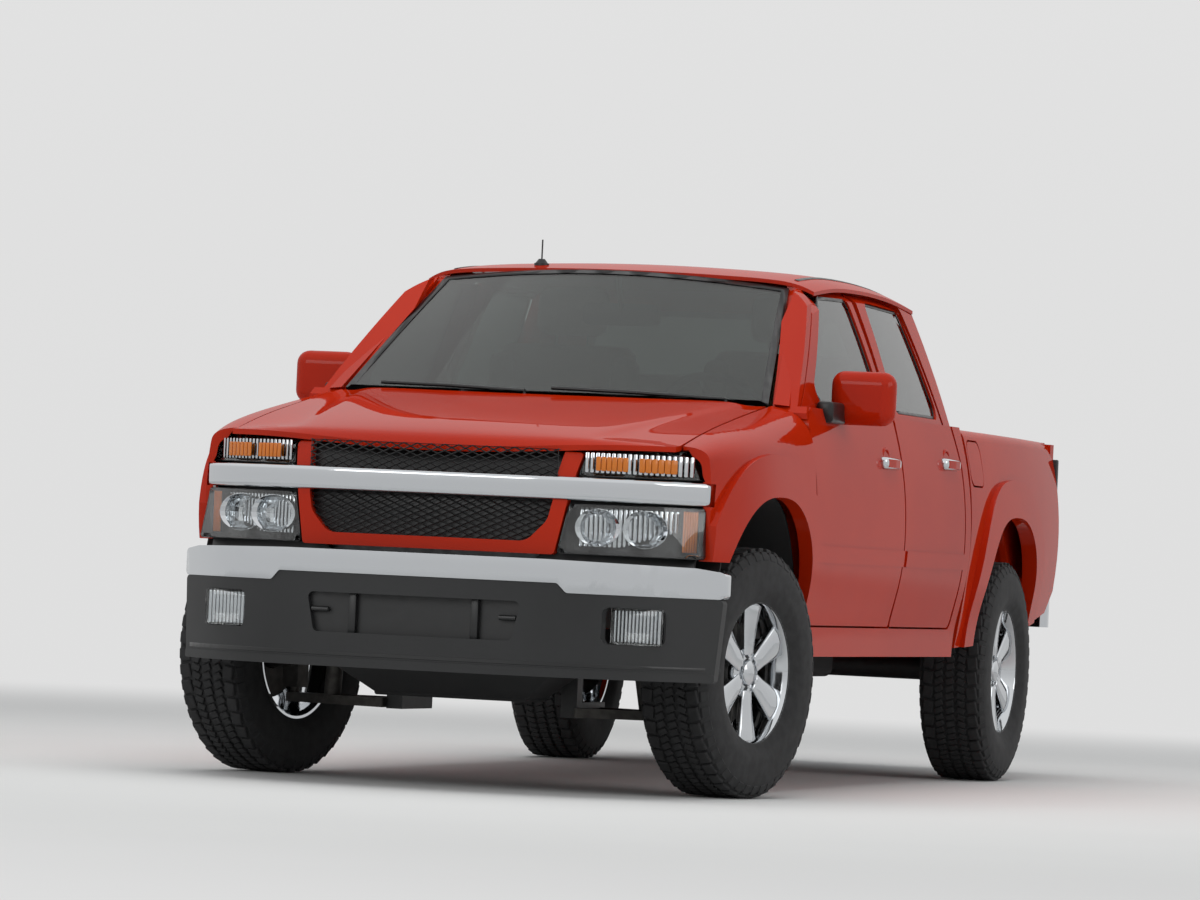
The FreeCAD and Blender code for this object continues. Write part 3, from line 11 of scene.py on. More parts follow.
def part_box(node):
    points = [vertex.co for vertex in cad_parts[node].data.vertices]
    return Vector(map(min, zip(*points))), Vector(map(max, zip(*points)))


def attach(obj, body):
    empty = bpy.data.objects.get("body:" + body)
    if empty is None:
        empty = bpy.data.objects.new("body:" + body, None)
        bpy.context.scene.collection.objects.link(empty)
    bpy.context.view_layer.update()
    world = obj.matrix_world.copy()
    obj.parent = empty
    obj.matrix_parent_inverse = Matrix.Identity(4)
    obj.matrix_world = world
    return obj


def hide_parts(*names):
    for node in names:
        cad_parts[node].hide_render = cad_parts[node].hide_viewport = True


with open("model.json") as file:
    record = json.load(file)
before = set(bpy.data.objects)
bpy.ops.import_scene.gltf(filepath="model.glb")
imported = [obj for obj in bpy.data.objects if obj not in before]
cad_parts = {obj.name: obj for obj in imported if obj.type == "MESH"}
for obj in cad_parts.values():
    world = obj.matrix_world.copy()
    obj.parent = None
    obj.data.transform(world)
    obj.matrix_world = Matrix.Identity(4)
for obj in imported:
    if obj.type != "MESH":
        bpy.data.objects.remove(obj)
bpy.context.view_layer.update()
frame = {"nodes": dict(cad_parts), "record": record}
scene = bpy.context.scene
MM = 0.001
MIDDLE = (0.0, 0.0, 0.0)


# Colour and shader nodes

def paint_hex(code):
    """sRGB hex code to the linear colour that a shader socket takes."""
    values = [int(code[i:i + 2], 16) / 255.0 for i in (0, 2, 4)]
    linear = [v / 12.92 if v <= 0.04045 else ((v + 0.055) / 1.055) ** 2.4 for v in values]
    return tuple(linear + [1.0])


def add_node(tree, kind, links=None, **settings):
    """New node: settings whose names are its own properties, else input sockets."""
    made = tree.nodes.new(kind)
    for key, value in settings.items():
        if hasattr(made, key):
            setattr(made, key, value)
        else:
            made.inputs[key.replace("_", " ")].default_value = value
    for socket, source in (links or {}).items():
        target = made.inputs[socket]
        tree.links.new(source, target)
    return made


def new_material(name, **shader):
    material = bpy.data.materials.new(name)
    material.use_nodes = True
    tree = material.node_tree
    surface = tree.nodes["Principled BSDF"]
    for key, value in shader.items():
        surface.inputs[key.replace("_", " ")].default_value = value
    place = add_node(tree, "ShaderNodeTexCoord")
    return material, tree, surface, place.outputs["Object"]


def bumped(tree, surface, height, depth_mm, strength=1.0):
    bump = add_node(tree, "ShaderNodeBump", {"Height": height},
                    Strength=strength, Distance=depth_mm * MM)
    tree.links.new(bump.outputs["Normal"], surface.inputs["Normal"])
    return bump


def mottled(tree, surface, place, socket, size_mm, low, high, detail=3.0):
    """Noise of a real size, spread between two values or colours, into a shader socket."""
    noise = add_node(tree, "ShaderNodeTexNoise", {"Vector": place},
                     Scale=1.0 / (size_mm * MM), Detail=detail)
    ramp = add_node(tree, "ShaderNodeValToRGB", {"Fac": noise.outputs["Fac"]})
    ramp.color_ramp.elements[0].position = 0.35
    ramp.color_ramp.elements[1].position = 0.65
    ramp.color_ramp.elements[0].color = low
    ramp.color_ramp.elements[1].color = high
    tree.links.new(ramp.outputs["Color"], surface.inputs[socket])
    return noise


def grey(value):
    return (value, value, value, 1.0)


ORANGE_PEEL = 7.0


def clearcoated_paint():
    """Sprayed enamel under clear lacquer: deep colour, sharp gloss, faint orange peel."""
    material, tree, surface, place = new_material(
        "clearcoated_enamel", Roughness=0.3, Specular_IOR_Level=0.0,
        Coat_Weight=0.4, Coat_Roughness=0.02, Coat_IOR=1.45)
    mottled(tree, surface, place, "Base Color", 900.0, paint_hex("B42408"), paint_hex("BE2A0A"))
    peel = add_node(tree, "ShaderNodeTexNoise", {"Vector": place},
                    Scale=1.0 / (ORANGE_PEEL * MM), Detail=1.0)
    bumped(tree, surface, peel.outputs["Fac"], 0.02, 0.5)
    return material


def chromed_steel():
    """Polished chrome plate: mirror-bright, a trace of haze from wiping."""
    material, tree, surface, place = new_material(
        "chromed_steel", Base_Color=paint_hex("C6C9CC"), Metallic=1.0)
    mottled(tree, surface, place, "Roughness", 60.0, grey(0.05), grey(0.11))
    return material


def grained_plastic(name, low, high, grain_mm=1.6, rough=0.62):
    """Moulded polypropylene with a leather-like grain, drawn a little coarse so that it shows."""
    material, tree, surface, place = new_material(name, Roughness=rough)
    mottled(tree, surface, place, "Base Color", 240.0, paint_hex(low), paint_hex(high))
    cells = add_node(tree, "ShaderNodeTexVoronoi", {"Vector": place}, Scale=1.0 / (grain_mm * MM))
    bumped(tree, surface, cells.outputs["Distance"], 0.25, 0.6)
    return material


def smooth_plastic(name, code, rough):
    """Moulded ABS, satin: even colour, faint flow marks."""
    material, tree, surface, place = new_material(name, Base_Color=paint_hex(code))
    mottled(tree, surface, place, "Roughness", 35.0, grey(rough - 0.05), grey(rough + 0.05))
    return material


def tyre_rubber():
    """Vulcanised rubber, carbon black: dull, a little darker in the low places of its bump."""
    material, tree, surface, place = new_material("vulcanised_rubber", Roughness=0.82)
    noise = mottled(tree, surface, place, "Base Color", 30.0,
                    paint_hex("19191A"), paint_hex("262627"), 6.0)
    bumped(tree, surface, noise.outputs["Fac"], 0.5, 0.4)
    return material


def window_glass(name, low, high):
    """Float glass with a light tint, both faces polished."""
    material, tree, surface, place = new_material(
        name, Roughness=0.0, Transmission_Weight=1.0, IOR=1.45, Specular_IOR_Level=0.2)
    mottled(tree, surface, place, "Base Color", 500.0, paint_hex(low), paint_hex(high))
    return material


def steel(name, low, high, rough, metallic=1.0, grain_mm=8.0):
    """Bare or painted steel parts of the chassis, uneven from casting, rolling or road dust."""
    material, tree, surface, place = new_material(name, Metallic=metallic, Roughness=rough)
    noise = mottled(tree, surface, place, "Base Color", grain_mm * 4,
                    paint_hex(low), paint_hex(high), 5.0)
    bumped(tree, surface, noise.outputs["Fac"], 0.3, 0.3)
    return material


def woven_seat_cloth(name="woven_polyester", low="8F7B62", high="A18C70"):
    """Flat-woven polyester: yarns of 2 mm across each other, matt, lightly fuzzy."""
    material, tree, surface, place = new_material(name, Roughness=0.92, Sheen_Weight=0.25)
    mottled(tree, surface, place, "Base Color", 14.0, paint_hex(low), paint_hex(high), 8.0)
    waves = []
    for direction in ("X", "Z"):
        wave = add_node(tree, "ShaderNodeTexWave", {"Vector": place}, bands_direction=direction,
                        Scale=1.0 / (2.0 * MM) / 6.2832)
        waves.append(wave.outputs["Fac"])
    crossed = add_node(tree, "ShaderNodeMath", {0: waves[0], 1: waves[1]}, operation="MULTIPLY")
    bumped(tree, surface, crossed.outputs["Value"], 0.3, 0.5)
    return material


PAINT = clearcoated_paint()
CHROME = chromed_steel()
# Bumper cover and trim: near black, matt, its grain breaks up the highlights.
COVER = grained_plastic("grained_polypropylene", "161718", "1C1D1E")
# Mouldings, wipers and seals: black with a soft sheen.
BLACK = smooth_plastic("satin_black_abs", "121314", 0.38)
# Wheel liners: dull black that lets the arches read as deep.
UNDERBODY = grained_plastic("underbody_polyethylene", "161617", "1E1E1F", 3.0, 0.8)
RUBBER = tyre_rubber()
# Windows: grey-green tint, dark where two panes lie behind each other.
GLASS = window_glass("tinted_float_glass", "59625E", "616A66")
# Lamp lenses: clear, so that the flutes behind them show.
LENS = window_glass("clear_polycarbonate", "F0F2F2", "F6F8F8")
# Tail lamps: deep red with a sharp gloss.
RED_LENS = smooth_plastic("red_acrylic", "5E0507", 0.1)
# Turn signals: warm orange with a sharp gloss.
AMBER = smooth_plastic("amber_acrylic", "D8781E", 0.15)
# Frame: dipped black paint, uneven and half matt.
FRAME_PAINT = steel("black_frame_paint", "1B1B1C", "262627", 0.5, 0.0)
# Leaf springs and struts: dark bare steel with a rolled skin.
SPRING = steel("spring_steel", "3A3938", "4C4A48", 0.55)
# Axles, knuckles and discs: rough grey iron.
CASTING = steel("cast_iron", "4A4846", "5C5A57", 0.6)
# Radiator: pale soft metal.
ALUMINIUM = steel("radiator_aluminium", "8C8E90", "A4A6A8", 0.45)
# Exhaust: warm grey coated steel, browned by heat.
EXHAUST = steel("aluminised_steel", "7C7872", "928E86", 0.42)
# Dashboard and console: brown-grey, matt, fine grain.
CABIN = grained_plastic("cabin_polypropylene", "4A4239", "554C42", 1.2, 0.7)
CLOTH = woven_seat_cloth()

FINISHES = {
    "body_paint": PAINT, "chassis_black": FRAME_PAINT, "spring_steel": SPRING,
    "cast_parts": CASTING, "radiator_metal": ALUMINIUM, "exhaust_steel": EXHAUST,
    "underbody_plastic": UNDERBODY, "tyre_rubber": RUBBER, "glass": GLASS,
    "black_plastic": BLACK, "chrome": CHROME, "lamp_glass": LENS, "grey_plastic": COVER,
    "lamp_red": RED_LENS, "interior_plastic": CABIN, "seat_fabric": CLOTH,
}

SLOT_OF = {part["node"]: part["material_slot"] for part in frame["record"]["subparts"]}
for node_name, obj in frame["nodes"].items():
    for held in obj.material_slots:
        held.material = FINISHES[SLOT_OF[node_name]]


# Modelling helpers

def let_go():
    if bpy.context.mode != "OBJECT":
        bpy.ops.object.mode_set(mode="OBJECT")
    bpy.ops.object.select_all(action="DESELECT")


def pick(obj):
    let_go()
    obj.select_set(True)
    bpy.context.view_layer.objects.active = obj


def edit(obj, mode="FACE"):
    pick(obj)
    bpy.ops.object.mode_set(mode="EDIT")
    bpy.ops.mesh.select_mode(type=mode)
    bpy.ops.mesh.select_all(action="SELECT")


def choose(obj, test):
    """In edit mode: selects only the faces whose middle and normal pass the test."""
    mesh = bmesh.from_edit_mesh(obj.data)
    for face in mesh.faces:
        face.select_set(bool(test(face.calc_center_median(), face.normal)))
    bmesh.update_edit_mesh(obj.data)


def settle(obj):
    """Moves an object's place and turn into its mesh."""
    pick(obj)
    bpy.ops.object.transform_apply(location=True, rotation=True, scale=True)


def block(xs, ys, zs, bevel=0.0, segments=2, turn=(0.0, 0.0, 0.0)):
    """Block over three ranges in mm, its edges bevelled and turned about its middle."""
    let_go()
    middle = [(pair[0] + pair[1]) / 2 * MM for pair in (xs, ys, zs)]
    size = [(pair[1] - pair[0]) * MM for pair in (xs, ys, zs)]
    bpy.ops.mesh.primitive_cube_add(size=1.0, location=middle, rotation=turn, scale=size)
    made = bpy.context.object
    bpy.ops.object.transform_apply(location=False, rotation=False, scale=True)
    if bevel:
        edit(made)
        bpy.ops.mesh.bevel(offset=bevel * MM, segments=segments, affect="EDGES")
    settle(made)
    return made


def roll(start, end, radius, sides=24, bevel=0.0):
    """Round bar between two places in mm."""
    let_go()
    a, b = Vector(start) * MM, Vector(end) * MM
    turn = (b - a).to_track_quat("Z", "Y").to_euler()
    bpy.ops.mesh.primitive_cylinder_add(vertices=sides, radius=radius * MM, depth=(b - a).length,
                                        location=(a + b) / 2, rotation=turn)
    made = bpy.context.object
    if bevel:
        edit(made)
        choose(made, lambda middle, normal: abs(normal.z) > 0.9)
        bpy.ops.mesh.bevel(offset=bevel * MM, segments=2, affect="EDGES")
    settle(made)
    return made


def spun(points, steps=96):
    """Profile of (x, radius) points in mm, extruded point by point and spun round X."""
    let_go()
    first = points[0]
    bpy.ops.mesh.primitive_plane_add(size=0.01, location=(first[0] * MM, 0.0, first[1] * MM))
    made = bpy.context.object
    edit(made, "VERT")
    bpy.ops.mesh.merge(type="CENTER")
    last = first
    for point in points[1:] + [first]:
        step = ((point[0] - last[0]) * MM, 0.0, (point[1] - last[1]) * MM)
        bpy.ops.mesh.extrude_region_move(TRANSFORM_OT_translate={"value": step})
        last = point
    bpy.ops.mesh.select_all(action="SELECT")
    bpy.ops.mesh.spin(steps=steps, angle=math.tau, center=(0.0, 0.0, 0.0), axis=(1.0, 0.0, 0.0))
    bpy.ops.mesh.select_all(action="SELECT")
    bpy.ops.mesh.remove_doubles(threshold=0.00005)
    bpy.ops.mesh.normals_make_consistent(inside=False)
    settle(made)
    return made


def ringed(obj, count):
    """Repeats a mesh evenly round X."""
    edit(obj)
    bpy.ops.mesh.spin(steps=count - 1, angle=math.tau * (count - 1) / count, dupli=True,
                      center=(0.0, 0.0, 0.0), axis=(1.0, 0.0, 0.0))
    let_go()
    return obj


def joined(*parts):
    let_go()
    for part in parts:
        part.select_set(True)
    bpy.context.view_layer.objects.active = parts[0]
    if len(parts) > 1:
        bpy.ops.object.join()
    return bpy.context.object


def copied(obj, matrix=None):
    """Copy with its own mesh, moved inside the mesh."""
    made = obj.copy()
    made.data = obj.data.copy()
    scene.collection.objects.link(made)
    if matrix is not None:
        made.data.transform(matrix)
        if matrix.determinant() < 0:
            made.data.flip_normals()
    return made


MIRROR = Matrix.Scale(-1.0, 4, (1.0, 0.0, 0.0))
SIDES = (("left", Matrix.Identity(4)), ("right", MIRROR))


def both_sides(obj):
    """Left-hand shape joined with its mirrored copy."""
    return joined(obj, copied(obj, MIRROR))


def cut_along(obj, places, axis):
    """Cuts a mesh straight through at places in metres along an axis, so that it can be bent."""
    edit(obj)
    for place in places:
        bpy.ops.mesh.select_all(action="SELECT")
        bpy.ops.mesh.bisect(plane_co=Vector(axis) * place, plane_no=axis)
    let_go()


def bent(obj, move):
    """Moves every vertex by what move(place) gives, in metres."""
    edit(obj)
    mesh = bmesh.from_edit_mesh(obj.data)
    for vertex in mesh.verts:
        vertex.co += move(vertex.co)
    bmesh.update_edit_mesh(obj.data)
    let_go()
    return obj


def discard(*parts):
    for part in parts:
        bpy.data.objects.remove(part)


def from_cad(node):
    """Welded copy of a CAD node's mesh, free of its parent."""
    source = frame["nodes"][node]
    made = source.copy()
    made.data = source.data.copy()
    scene.collection.objects.link(made)
    made.parent = None
    made.matrix_world = Matrix.Identity(4)
    for key in list(made.keys()):
        if key.startswith("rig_"):
            del made[key]
    edit(made, "VERT")
    bpy.ops.mesh.remove_doubles(threshold=0.00001)
    let_go()
    return made


def parted(obj, test):
    """Splits off the faces that pass the test, and gives them back as their own object."""
    edit(obj)
    choose(obj, test)
    bpy.ops.mesh.separate(type="SELECTED")
    others = [o for o in bpy.context.selected_objects if o is not obj]
    let_go()
    return others[0]


def thickened(obj, thickness, offset=-1.0):
    pick(obj)
    wall = obj.modifiers.new("wall", "SOLIDIFY")
    wall.thickness = thickness * MM
    wall.offset = offset
    bpy.ops.object.modifier_apply(modifier=wall.name)
    return obj


def finished(obj, name, material, body, slot_name, *nodes, angle=35.0):
    obj.name = name
    obj.data.name = name
    obj.data.materials.clear()
    obj.data.materials.append(material)
    pick(obj)
    if angle:
        bpy.ops.object.shade_smooth_by_angle(angle=math.radians(angle))
    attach(obj, body)
    if nodes:
        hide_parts(*nodes)
    return obj


# Wheels

TREAD_R = 375.4
CARCASS_R = 367.0
PITCHES = 46


def tyre_carcass():
    half = [(96, 209), (104, 226), (113, 240), (113.5, 246), (116, 250), (117.2, 276),
            (116.8, 306), (113.5, 332), (105, 354), (93, 365), (60, CARCASS_R), (0, CARCASS_R + 0.5)]
    other = [(-x, r) for x, r in reversed(half[:-1])]
    return spun(half + other, 92)


def tread_pitch():
    """One pitch of the tread: shoulder lugs, slanted blocks, centre rib and side lugs."""
    blocks = []
    for side in (1, -1):
        lean = math.radians(9 * side)
        blocks.append(block((side * 75.5 - 17, side * 75.5 + 17), (-20.5, 20.5),
                            (CARCASS_R - 6, TREAD_R - 0.8), 2.4, 1, (0.0, 0.0, lean)))
        for shift in (-12.5, 12.5):
            slant = (0.0, 0.0, math.radians(-24 * side))
            blocks.append(block((side * 38 - 14, side * 38 + 14), (shift - 9.5, shift + 9.5),
                                (CARCASS_R - 5, TREAD_R), 1.8, 1, slant))
        blocks.append(block((side * 102 - 6, side * 102 + 6), (-16, 16), (334, 364), 2.4, 1,
                            (0.0, math.radians(-26 * side), 0.0)))
    for shift in (-12.5, 12.5):
        blocks.append(block((-14, 14), (shift - 10, shift + 10), (CARCASS_R - 5, TREAD_R), 1.8, 1,
                            (0.0, 0.0, math.radians(18))))
    return joined(*blocks)


def wheel_spoke():
    """One of six broad spokes that flare towards the lip, with rolled edges."""
    spoke = block((34, 74), (-44, 44), (52, 206))
    edit(spoke)
    bpy.ops.mesh.subdivide(number_cuts=3)
    mesh = bmesh.from_edit_mesh(spoke.data)
    for vertex in mesh.verts:
        out = max(vertex.co.z / MM - 52.0, 0.0) / 154.0
        vertex.co.y *= 0.62 + 0.62 * out ** 1.4
        dish = 14.0 * out ** 2 - 2.0
        crown = -5.0 * (vertex.co.y / (44 * MM)) ** 2
        if vertex.co.x > 60 * MM:
            vertex.co.x += (dish + crown) * MM
        else:
            vertex.co.x += dish * 0.6 * MM
            vertex.co.y *= 0.72
    bmesh.update_edit_mesh(spoke.data)
    let_go()
    pick(spoke)
    rolled = spoke.modifiers.new("rolled", "BEVEL")
    rolled.width = 6.0 * MM
    rolled.segments = 3
    rolled.angle_limit = math.radians(40)
    bpy.ops.object.modifier_apply(modifier=rolled.name)
    return ringed(spoke, 6)


def wheel_barrel():
    return spun([(88, 222), (97, 222), (98, 219), (97, 211), (90, 206), (76, 203), (60, 196),
                 (30, 190), (-82, 192), (-96, 203), (-97, 212), (-92, 212), (-84, 200),
                 (-70, 198), (30, 197), (60, 203), (76, 209), (86, 214)], 96)


def wheel_hub():
    hub = spun([(20, 30), (20, 76), (52, 80), (60, 76), (64, 68), (64, 42), (58, 40), (58, 30)], 72)
    cap = spun([(56, 1), (56, 39), (66, 40), (74, 36), (79, 26), (81, 12), (81.4, 1)], 48)
    return joined(hub, cap)


def lug_nuts():
    nut = roll((50, 0, 56), (72, 0, 56), 10.5, 6, 1.8)
    return ringed(nut, 6)


# Black discs round the lug nuts: painted shade of the pockets the nuts sit in.
def lug_pocket_shade():
    shade_disc = roll((58, 0, 56), (65.2, 0, 56), 14.5, 20)
    return ringed(shade_disc, 6)


def brake_disc():
    return spun([(4, 62), (4, 150), (14, 150), (14, 62)], 64)


tyre_master = joined(ringed(tread_pitch(), PITCHES), tyre_carcass())
rim_master = joined(wheel_spoke(), wheel_barrel(), wheel_hub(), lug_nuts())
pocket_shade_master = lug_pocket_shade()
disc_master = brake_disc()
HEADINGS = {"front_left": -12.5, "front_right": 166.3, "rear_left": 0.0, "rear_right": 180.0}
for corner, heading in HEADINGS.items():
    low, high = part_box("tyre_" + corner)
    place = Matrix.Translation((low + high) / 2) @ Matrix.Rotation(math.radians(heading), 4, "Z")
    body = "wheel_" + corner
    finished(copied(tyre_master, place), "tread_tyre_" + corner, RUBBER, body, "tyre_rubber",
             "tyre_" + corner)
    finished(copied(rim_master, place), "spoked_rim_" + corner, CHROME, body, "chrome",
             "rim_" + corner)
    # Black discs round the nuts, painted shade of their pockets.
    finished(copied(pocket_shade_master, place), "lug_pocket_shade_" + corner, BLACK, body, "black_plastic")
    finished(copied(disc_master, place), "brake_disc_" + corner, CASTING, body, "cast_parts")
discard(tyre_master, rim_master, pocket_shade_master, disc_master)


# Grille lattice

NOSE_BACK = -2.527
NOSE_SWEEP = 0.285
NOSE_HALF = 0.777


def nose_y(x):
    """Front of the nose in the row frame, in metres, at a place across it."""
    return NOSE_BACK + NOSE_SWEEP * (abs(x) / NOSE_HALF) ** 3


def follow_nose(obj, behind):
    """Bends a flat piece drawn at y = 0 to the nose's plan line."""
    return bent(obj, lambda place: Vector((0.0, nose_y(place.x) + behind * MM, 0.0)))


def grille_lattice():
    """Diamond lattice of pressed wire behind the grille openings."""
    let_go()
    bpy.ops.mesh.primitive_grid_add(x_subdivisions=38, y_subdivisions=38, size=0.81,
                                    location=MIDDLE)
    lattice = bpy.context.object
    edit(lattice)
    bpy.ops.transform.rotate(value=math.radians(45), orient_axis="Z", center_override=MIDDLE)
    bpy.ops.transform.resize(value=(1.4, 0.62, 1.0), center_override=MIDDLE)
    bpy.ops.transform.rotate(value=math.radians(-90), orient_axis="X", center_override=MIDDLE)
    for place, normal in (((0.38, 0, 0), (1, 0, 0)), ((-0.38, 0, 0), (-1, 0, 0)),
                          ((0, 0, 0.15), (0, 0, 1)), ((0, 0, -0.148), (0, 0, -1))):
        bpy.ops.mesh.select_all(action="SELECT")
        bpy.ops.mesh.bisect(plane_co=place, plane_no=normal, clear_outer=True)
    let_go()
    lattice.location = (0.0, 0.0, 0.86)
    settle(lattice)
    wire = lattice.modifiers.new("wire", "WIREFRAME")
    wire.thickness = 4.2 * MM
    bpy.ops.object.modifier_apply(modifier=wire.name)
    return follow_nose(lattice, 24.0)


finished(grille_lattice(), "grille_lattice", BLACK, "root", "black_plastic", angle=0)


# Lamps

def lamp_shells():
    """Lamp housings and their front lenses, from the closed lamp solids."""
    whole = from_cad("front_lamps")
    front = parted(whole, lambda middle, normal: normal.y < -0.45)
    thickened(front, 2.5)
    thickened(whole, 2.0)
    return whole, front


def reflector(x, z, radius, depth, behind, wide):
    """Bowl open to the front, pressed in flat facets."""
    let_go()
    bpy.ops.mesh.primitive_uv_sphere_add(segments=26, ring_count=12, radius=radius * MM,
                                         location=(x * MM, nose_y(x * MM) + behind * MM, z * MM))
    bowl = bpy.context.object
    edit(bowl)
    bpy.ops.mesh.bisect(plane_co=bowl.location, plane_no=(0.0, -1.0, 0.0), clear_outer=True)
    bpy.ops.transform.resize(value=(wide, depth / radius, 1.0), center_override=bowl.location)
    let_go()
    settle(bowl)
    return thickened(bowl, 1.5)


housing, lenses = lamp_shells()
finished(housing, "lamp_housings", BLACK, "root", "black_plastic", "front_lamps")
finished(lenses, "lamp_lenses", LENS, "root", "lamp_glass")
bowls = [reflector(x, 786, 56, 46, 12, 1.25) for x in (500, 624)]
finished(both_sides(joined(*bowls)), "lamp_reflectors", CHROME, "root", "chrome", angle=0)

FLUTE_ROWS = ((452, 736, 945, 1006, 34), (440, 700, 728, 846, 52))
AMBER_ROWS = ((486, 572, 952, 994, 16), (600, 696, 952, 994, 16), (716, 752, 724, 846, 12))


def lamp_row(x0, x1, z0, z1, behind, count, width, depth, bevel):
    """Upright ribs side by side along the nose."""
    ribs = []
    for step in range(count):
        a = x0 + (x1 - x0) * step / count
        ribs.append(follow_nose(block((a, a + width), (0, depth), (z0, z1), bevel), behind))
    return ribs


flutes = sum((lamp_row(*row, 20, 11, 9, 4) for row in FLUTE_ROWS), [])
finished(both_sides(joined(*flutes)), "lamp_flutes", CHROME, "root", "chrome")
ambers = sum((lamp_row(*row, 6, (row[1] - row[0]) / 6 - 1, 10, 3) for row in AMBER_ROWS), [])
finished(both_sides(joined(*ambers)), "amber_lenses", AMBER, "root", "lamp_glass")


# Glass borders

def glass_border(node, test, width, lift):
    """Band of black rubber or printed edge that runs round a pane's outer face."""
    whole = from_cad(node)
    band = parted(whole, test)
    discard(whole)
    edit(band)
    bpy.ops.mesh.inset(thickness=width * MM, use_boundary=True, use_even_offset=True)
    bpy.ops.mesh.delete(type="FACE")
    let_go()
    return thickened(band, lift, 1.0)


def windscreen_face(middle, normal):
    return normal.y < -0.2 and middle.y < 0.0


def rear_window_face(middle, normal):
    return normal.y > 0.3 and middle.y > 0.0


finished(glass_border("cab_glass", windscreen_face, 24, 2.5),
         "windscreen_border", BLACK, "root", "black_plastic", angle=0)
finished(glass_border("cab_glass", rear_window_face, 22, 2.0),
         "rear_window_border", BLACK, "root", "black_plastic", angle=0)
for corner, side in (("front_left", 1), ("rear_left", 1), ("front_right", -1), ("rear_right", -1)):
    border = glass_border("glass_" + corner, lambda middle, normal: normal.x * side > 0.4, 11, 2.0)
    finished(border, "window_seal_" + corner, BLACK, "door_" + corner, "black_plastic", angle=0)


# Mirrors

def mirror_shell():
    """Rounded head, hollowed at the back where the pane sits."""
    shell = block((779, 985), (-905, -818), (1150, 1318), 42, 7)
    edit(shell)
    choose(shell, lambda middle, normal: normal.y > 0.95)
    bpy.ops.mesh.inset(thickness=6 * MM)
    bpy.ops.transform.translate(value=(0.0, -8 * MM, 0.0))
    let_go()
    return shell


def mirror_arm():
    """Black foot that runs forward to the door's corner."""
    arm = block((776, 832), (-1046, -860), (1150, 1216), 12, 3)
    edit(arm)
    choose(arm, lambda middle, normal: normal.y < -0.9)
    bpy.ops.transform.resize(value=(0.8, 1.0, 0.7), center_override=(0.79, -1.048, 1.215))
    let_go()
    return arm


shell, arm = mirror_shell(), mirror_arm()
pane = block((830, 960), (-826, -822), (1176, 1292), 1.5, 1)
for name, matrix in SIDES:
    body = "door_front_" + name
    finished(copied(shell, matrix), "mirror_shell_" + name, PAINT, body, "body_paint",
             "mirror_" + name)
    finished(copied(arm, matrix), "mirror_arm_" + name, BLACK, body, "black_plastic")
    finished(copied(pane, matrix), "mirror_pane_" + name, CHROME, body, "chrome")
discard(shell, arm, pane)


# Door handles

def skin_x(node, y, z):
    """Outer face of a left door at a place, in mm."""
    hit = frame["nodes"][node].ray_cast(Vector((1.1, y * MM, z * MM)), Vector((-1.0, 0.0, 0.0)))
    return hit[1].x / MM


for end, y, z in (("front", -315.0, 1044.0), ("rear", 522.0, 1062.0)):
    x = skin_x("door_%s_left" % end, y, z + 60.0) + 3.0
    cup = spun([(-7, 40), (-1, 41), (5, 43), (6, 46), (4, 50), (-7, 53)], 48)
    cup.data.transform(Matrix.Translation((x * MM, (y - 18.0) * MM, z * MM)))
    grab = block((x - 6, x + 30), (y - 100, y + 100), (z - 19, z + 19), 13, 4)
    for name, matrix in SIDES:
        body = "door_%s_%s" % (end, name)
        finished(copied(cup, matrix), "handle_cup_%s_%s" % (end, name), PAINT, body, "body_paint")
        finished(copied(grab, matrix), "handle_grab_%s_%s" % (end, name), CHROME, body, "chrome")
    discard(cup, grab)


# Seats

def stuffed(xs, ys, zs, edge, lean=0.0):
    """Foam block under cloth: edges drawn in by the seams, faces swollen between them."""
    pad = block(xs, ys, zs, edge, 3, (math.radians(lean), 0.0, 0.0))
    edit(pad)
    bpy.ops.mesh.subdivide(number_cuts=2)
    let_go()
    pick(pad)
    swell = pad.modifiers.new("swell", "SUBSURF")
    swell.levels = 2
    swell.render_levels = 2
    bpy.ops.object.modifier_apply(modifier=swell.name)
    return pad


def front_seat():
    """Cushion and back, each with a bolster on either side."""
    return [stuffed((125, 605), (-560, -70), (775, 905), 40, -4),
            stuffed((108, 190), (-540, -80), (770, 935), 34, -4),
            stuffed((540, 622), (-540, -80), (770, 935), 34, -4),
            stuffed((135, 595), (-20, 90), (830, 1395), 42, -9),
            stuffed((116, 200), (-55, 60), (860, 1360), 34, -9),
            stuffed((530, 614), (-55, 60), (860, 1360), 34, -9)]


def headrest():
    return stuffed((245, 485), (64, 150), (1425, 1585), 40, -8)


seat = joined(*front_seat())
rest = headrest()
posts = joined(roll((310, 110, 1385), (310, 110, 1460), 6),
               roll((420, 110, 1385), (420, 110, 1460), 6),
               block((170, 560), (-490, -100), (590, 772), 12))
for name, matrix in SIDES:
    nodes = ("front_seats",) if name == "left" else ()
    piece = finished(copied(seat, matrix), "front_seat_" + name, CLOTH, "root", "seat_fabric",
                     *nodes)
    piece = finished(copied(rest, matrix), "headrest_" + name, CLOTH, "root", "seat_fabric")
    finished(copied(posts, matrix), "seat_frame_" + name, BLACK, "root", "black_plastic")
discard(seat, rest, posts)
bench = joined(stuffed((-636, -6), (225, 625), (705, 870), 42, -3),
               stuffed((6, 636), (225, 625), (705, 870), 42, -3),
               stuffed((-636, -6), (610, 705), (820, 1325), 40, -5),
               stuffed((6, 636), (610, 705), (820, 1325), 40, -5))
finished(bench, "rear_bench", CLOTH, "root", "seat_fabric", "rear_seat")
finished(block((-560, 560), (345, 635), (590, 715), 10), "rear_bench_base", BLACK, "root",
         "black_plastic")


# Bumper opening

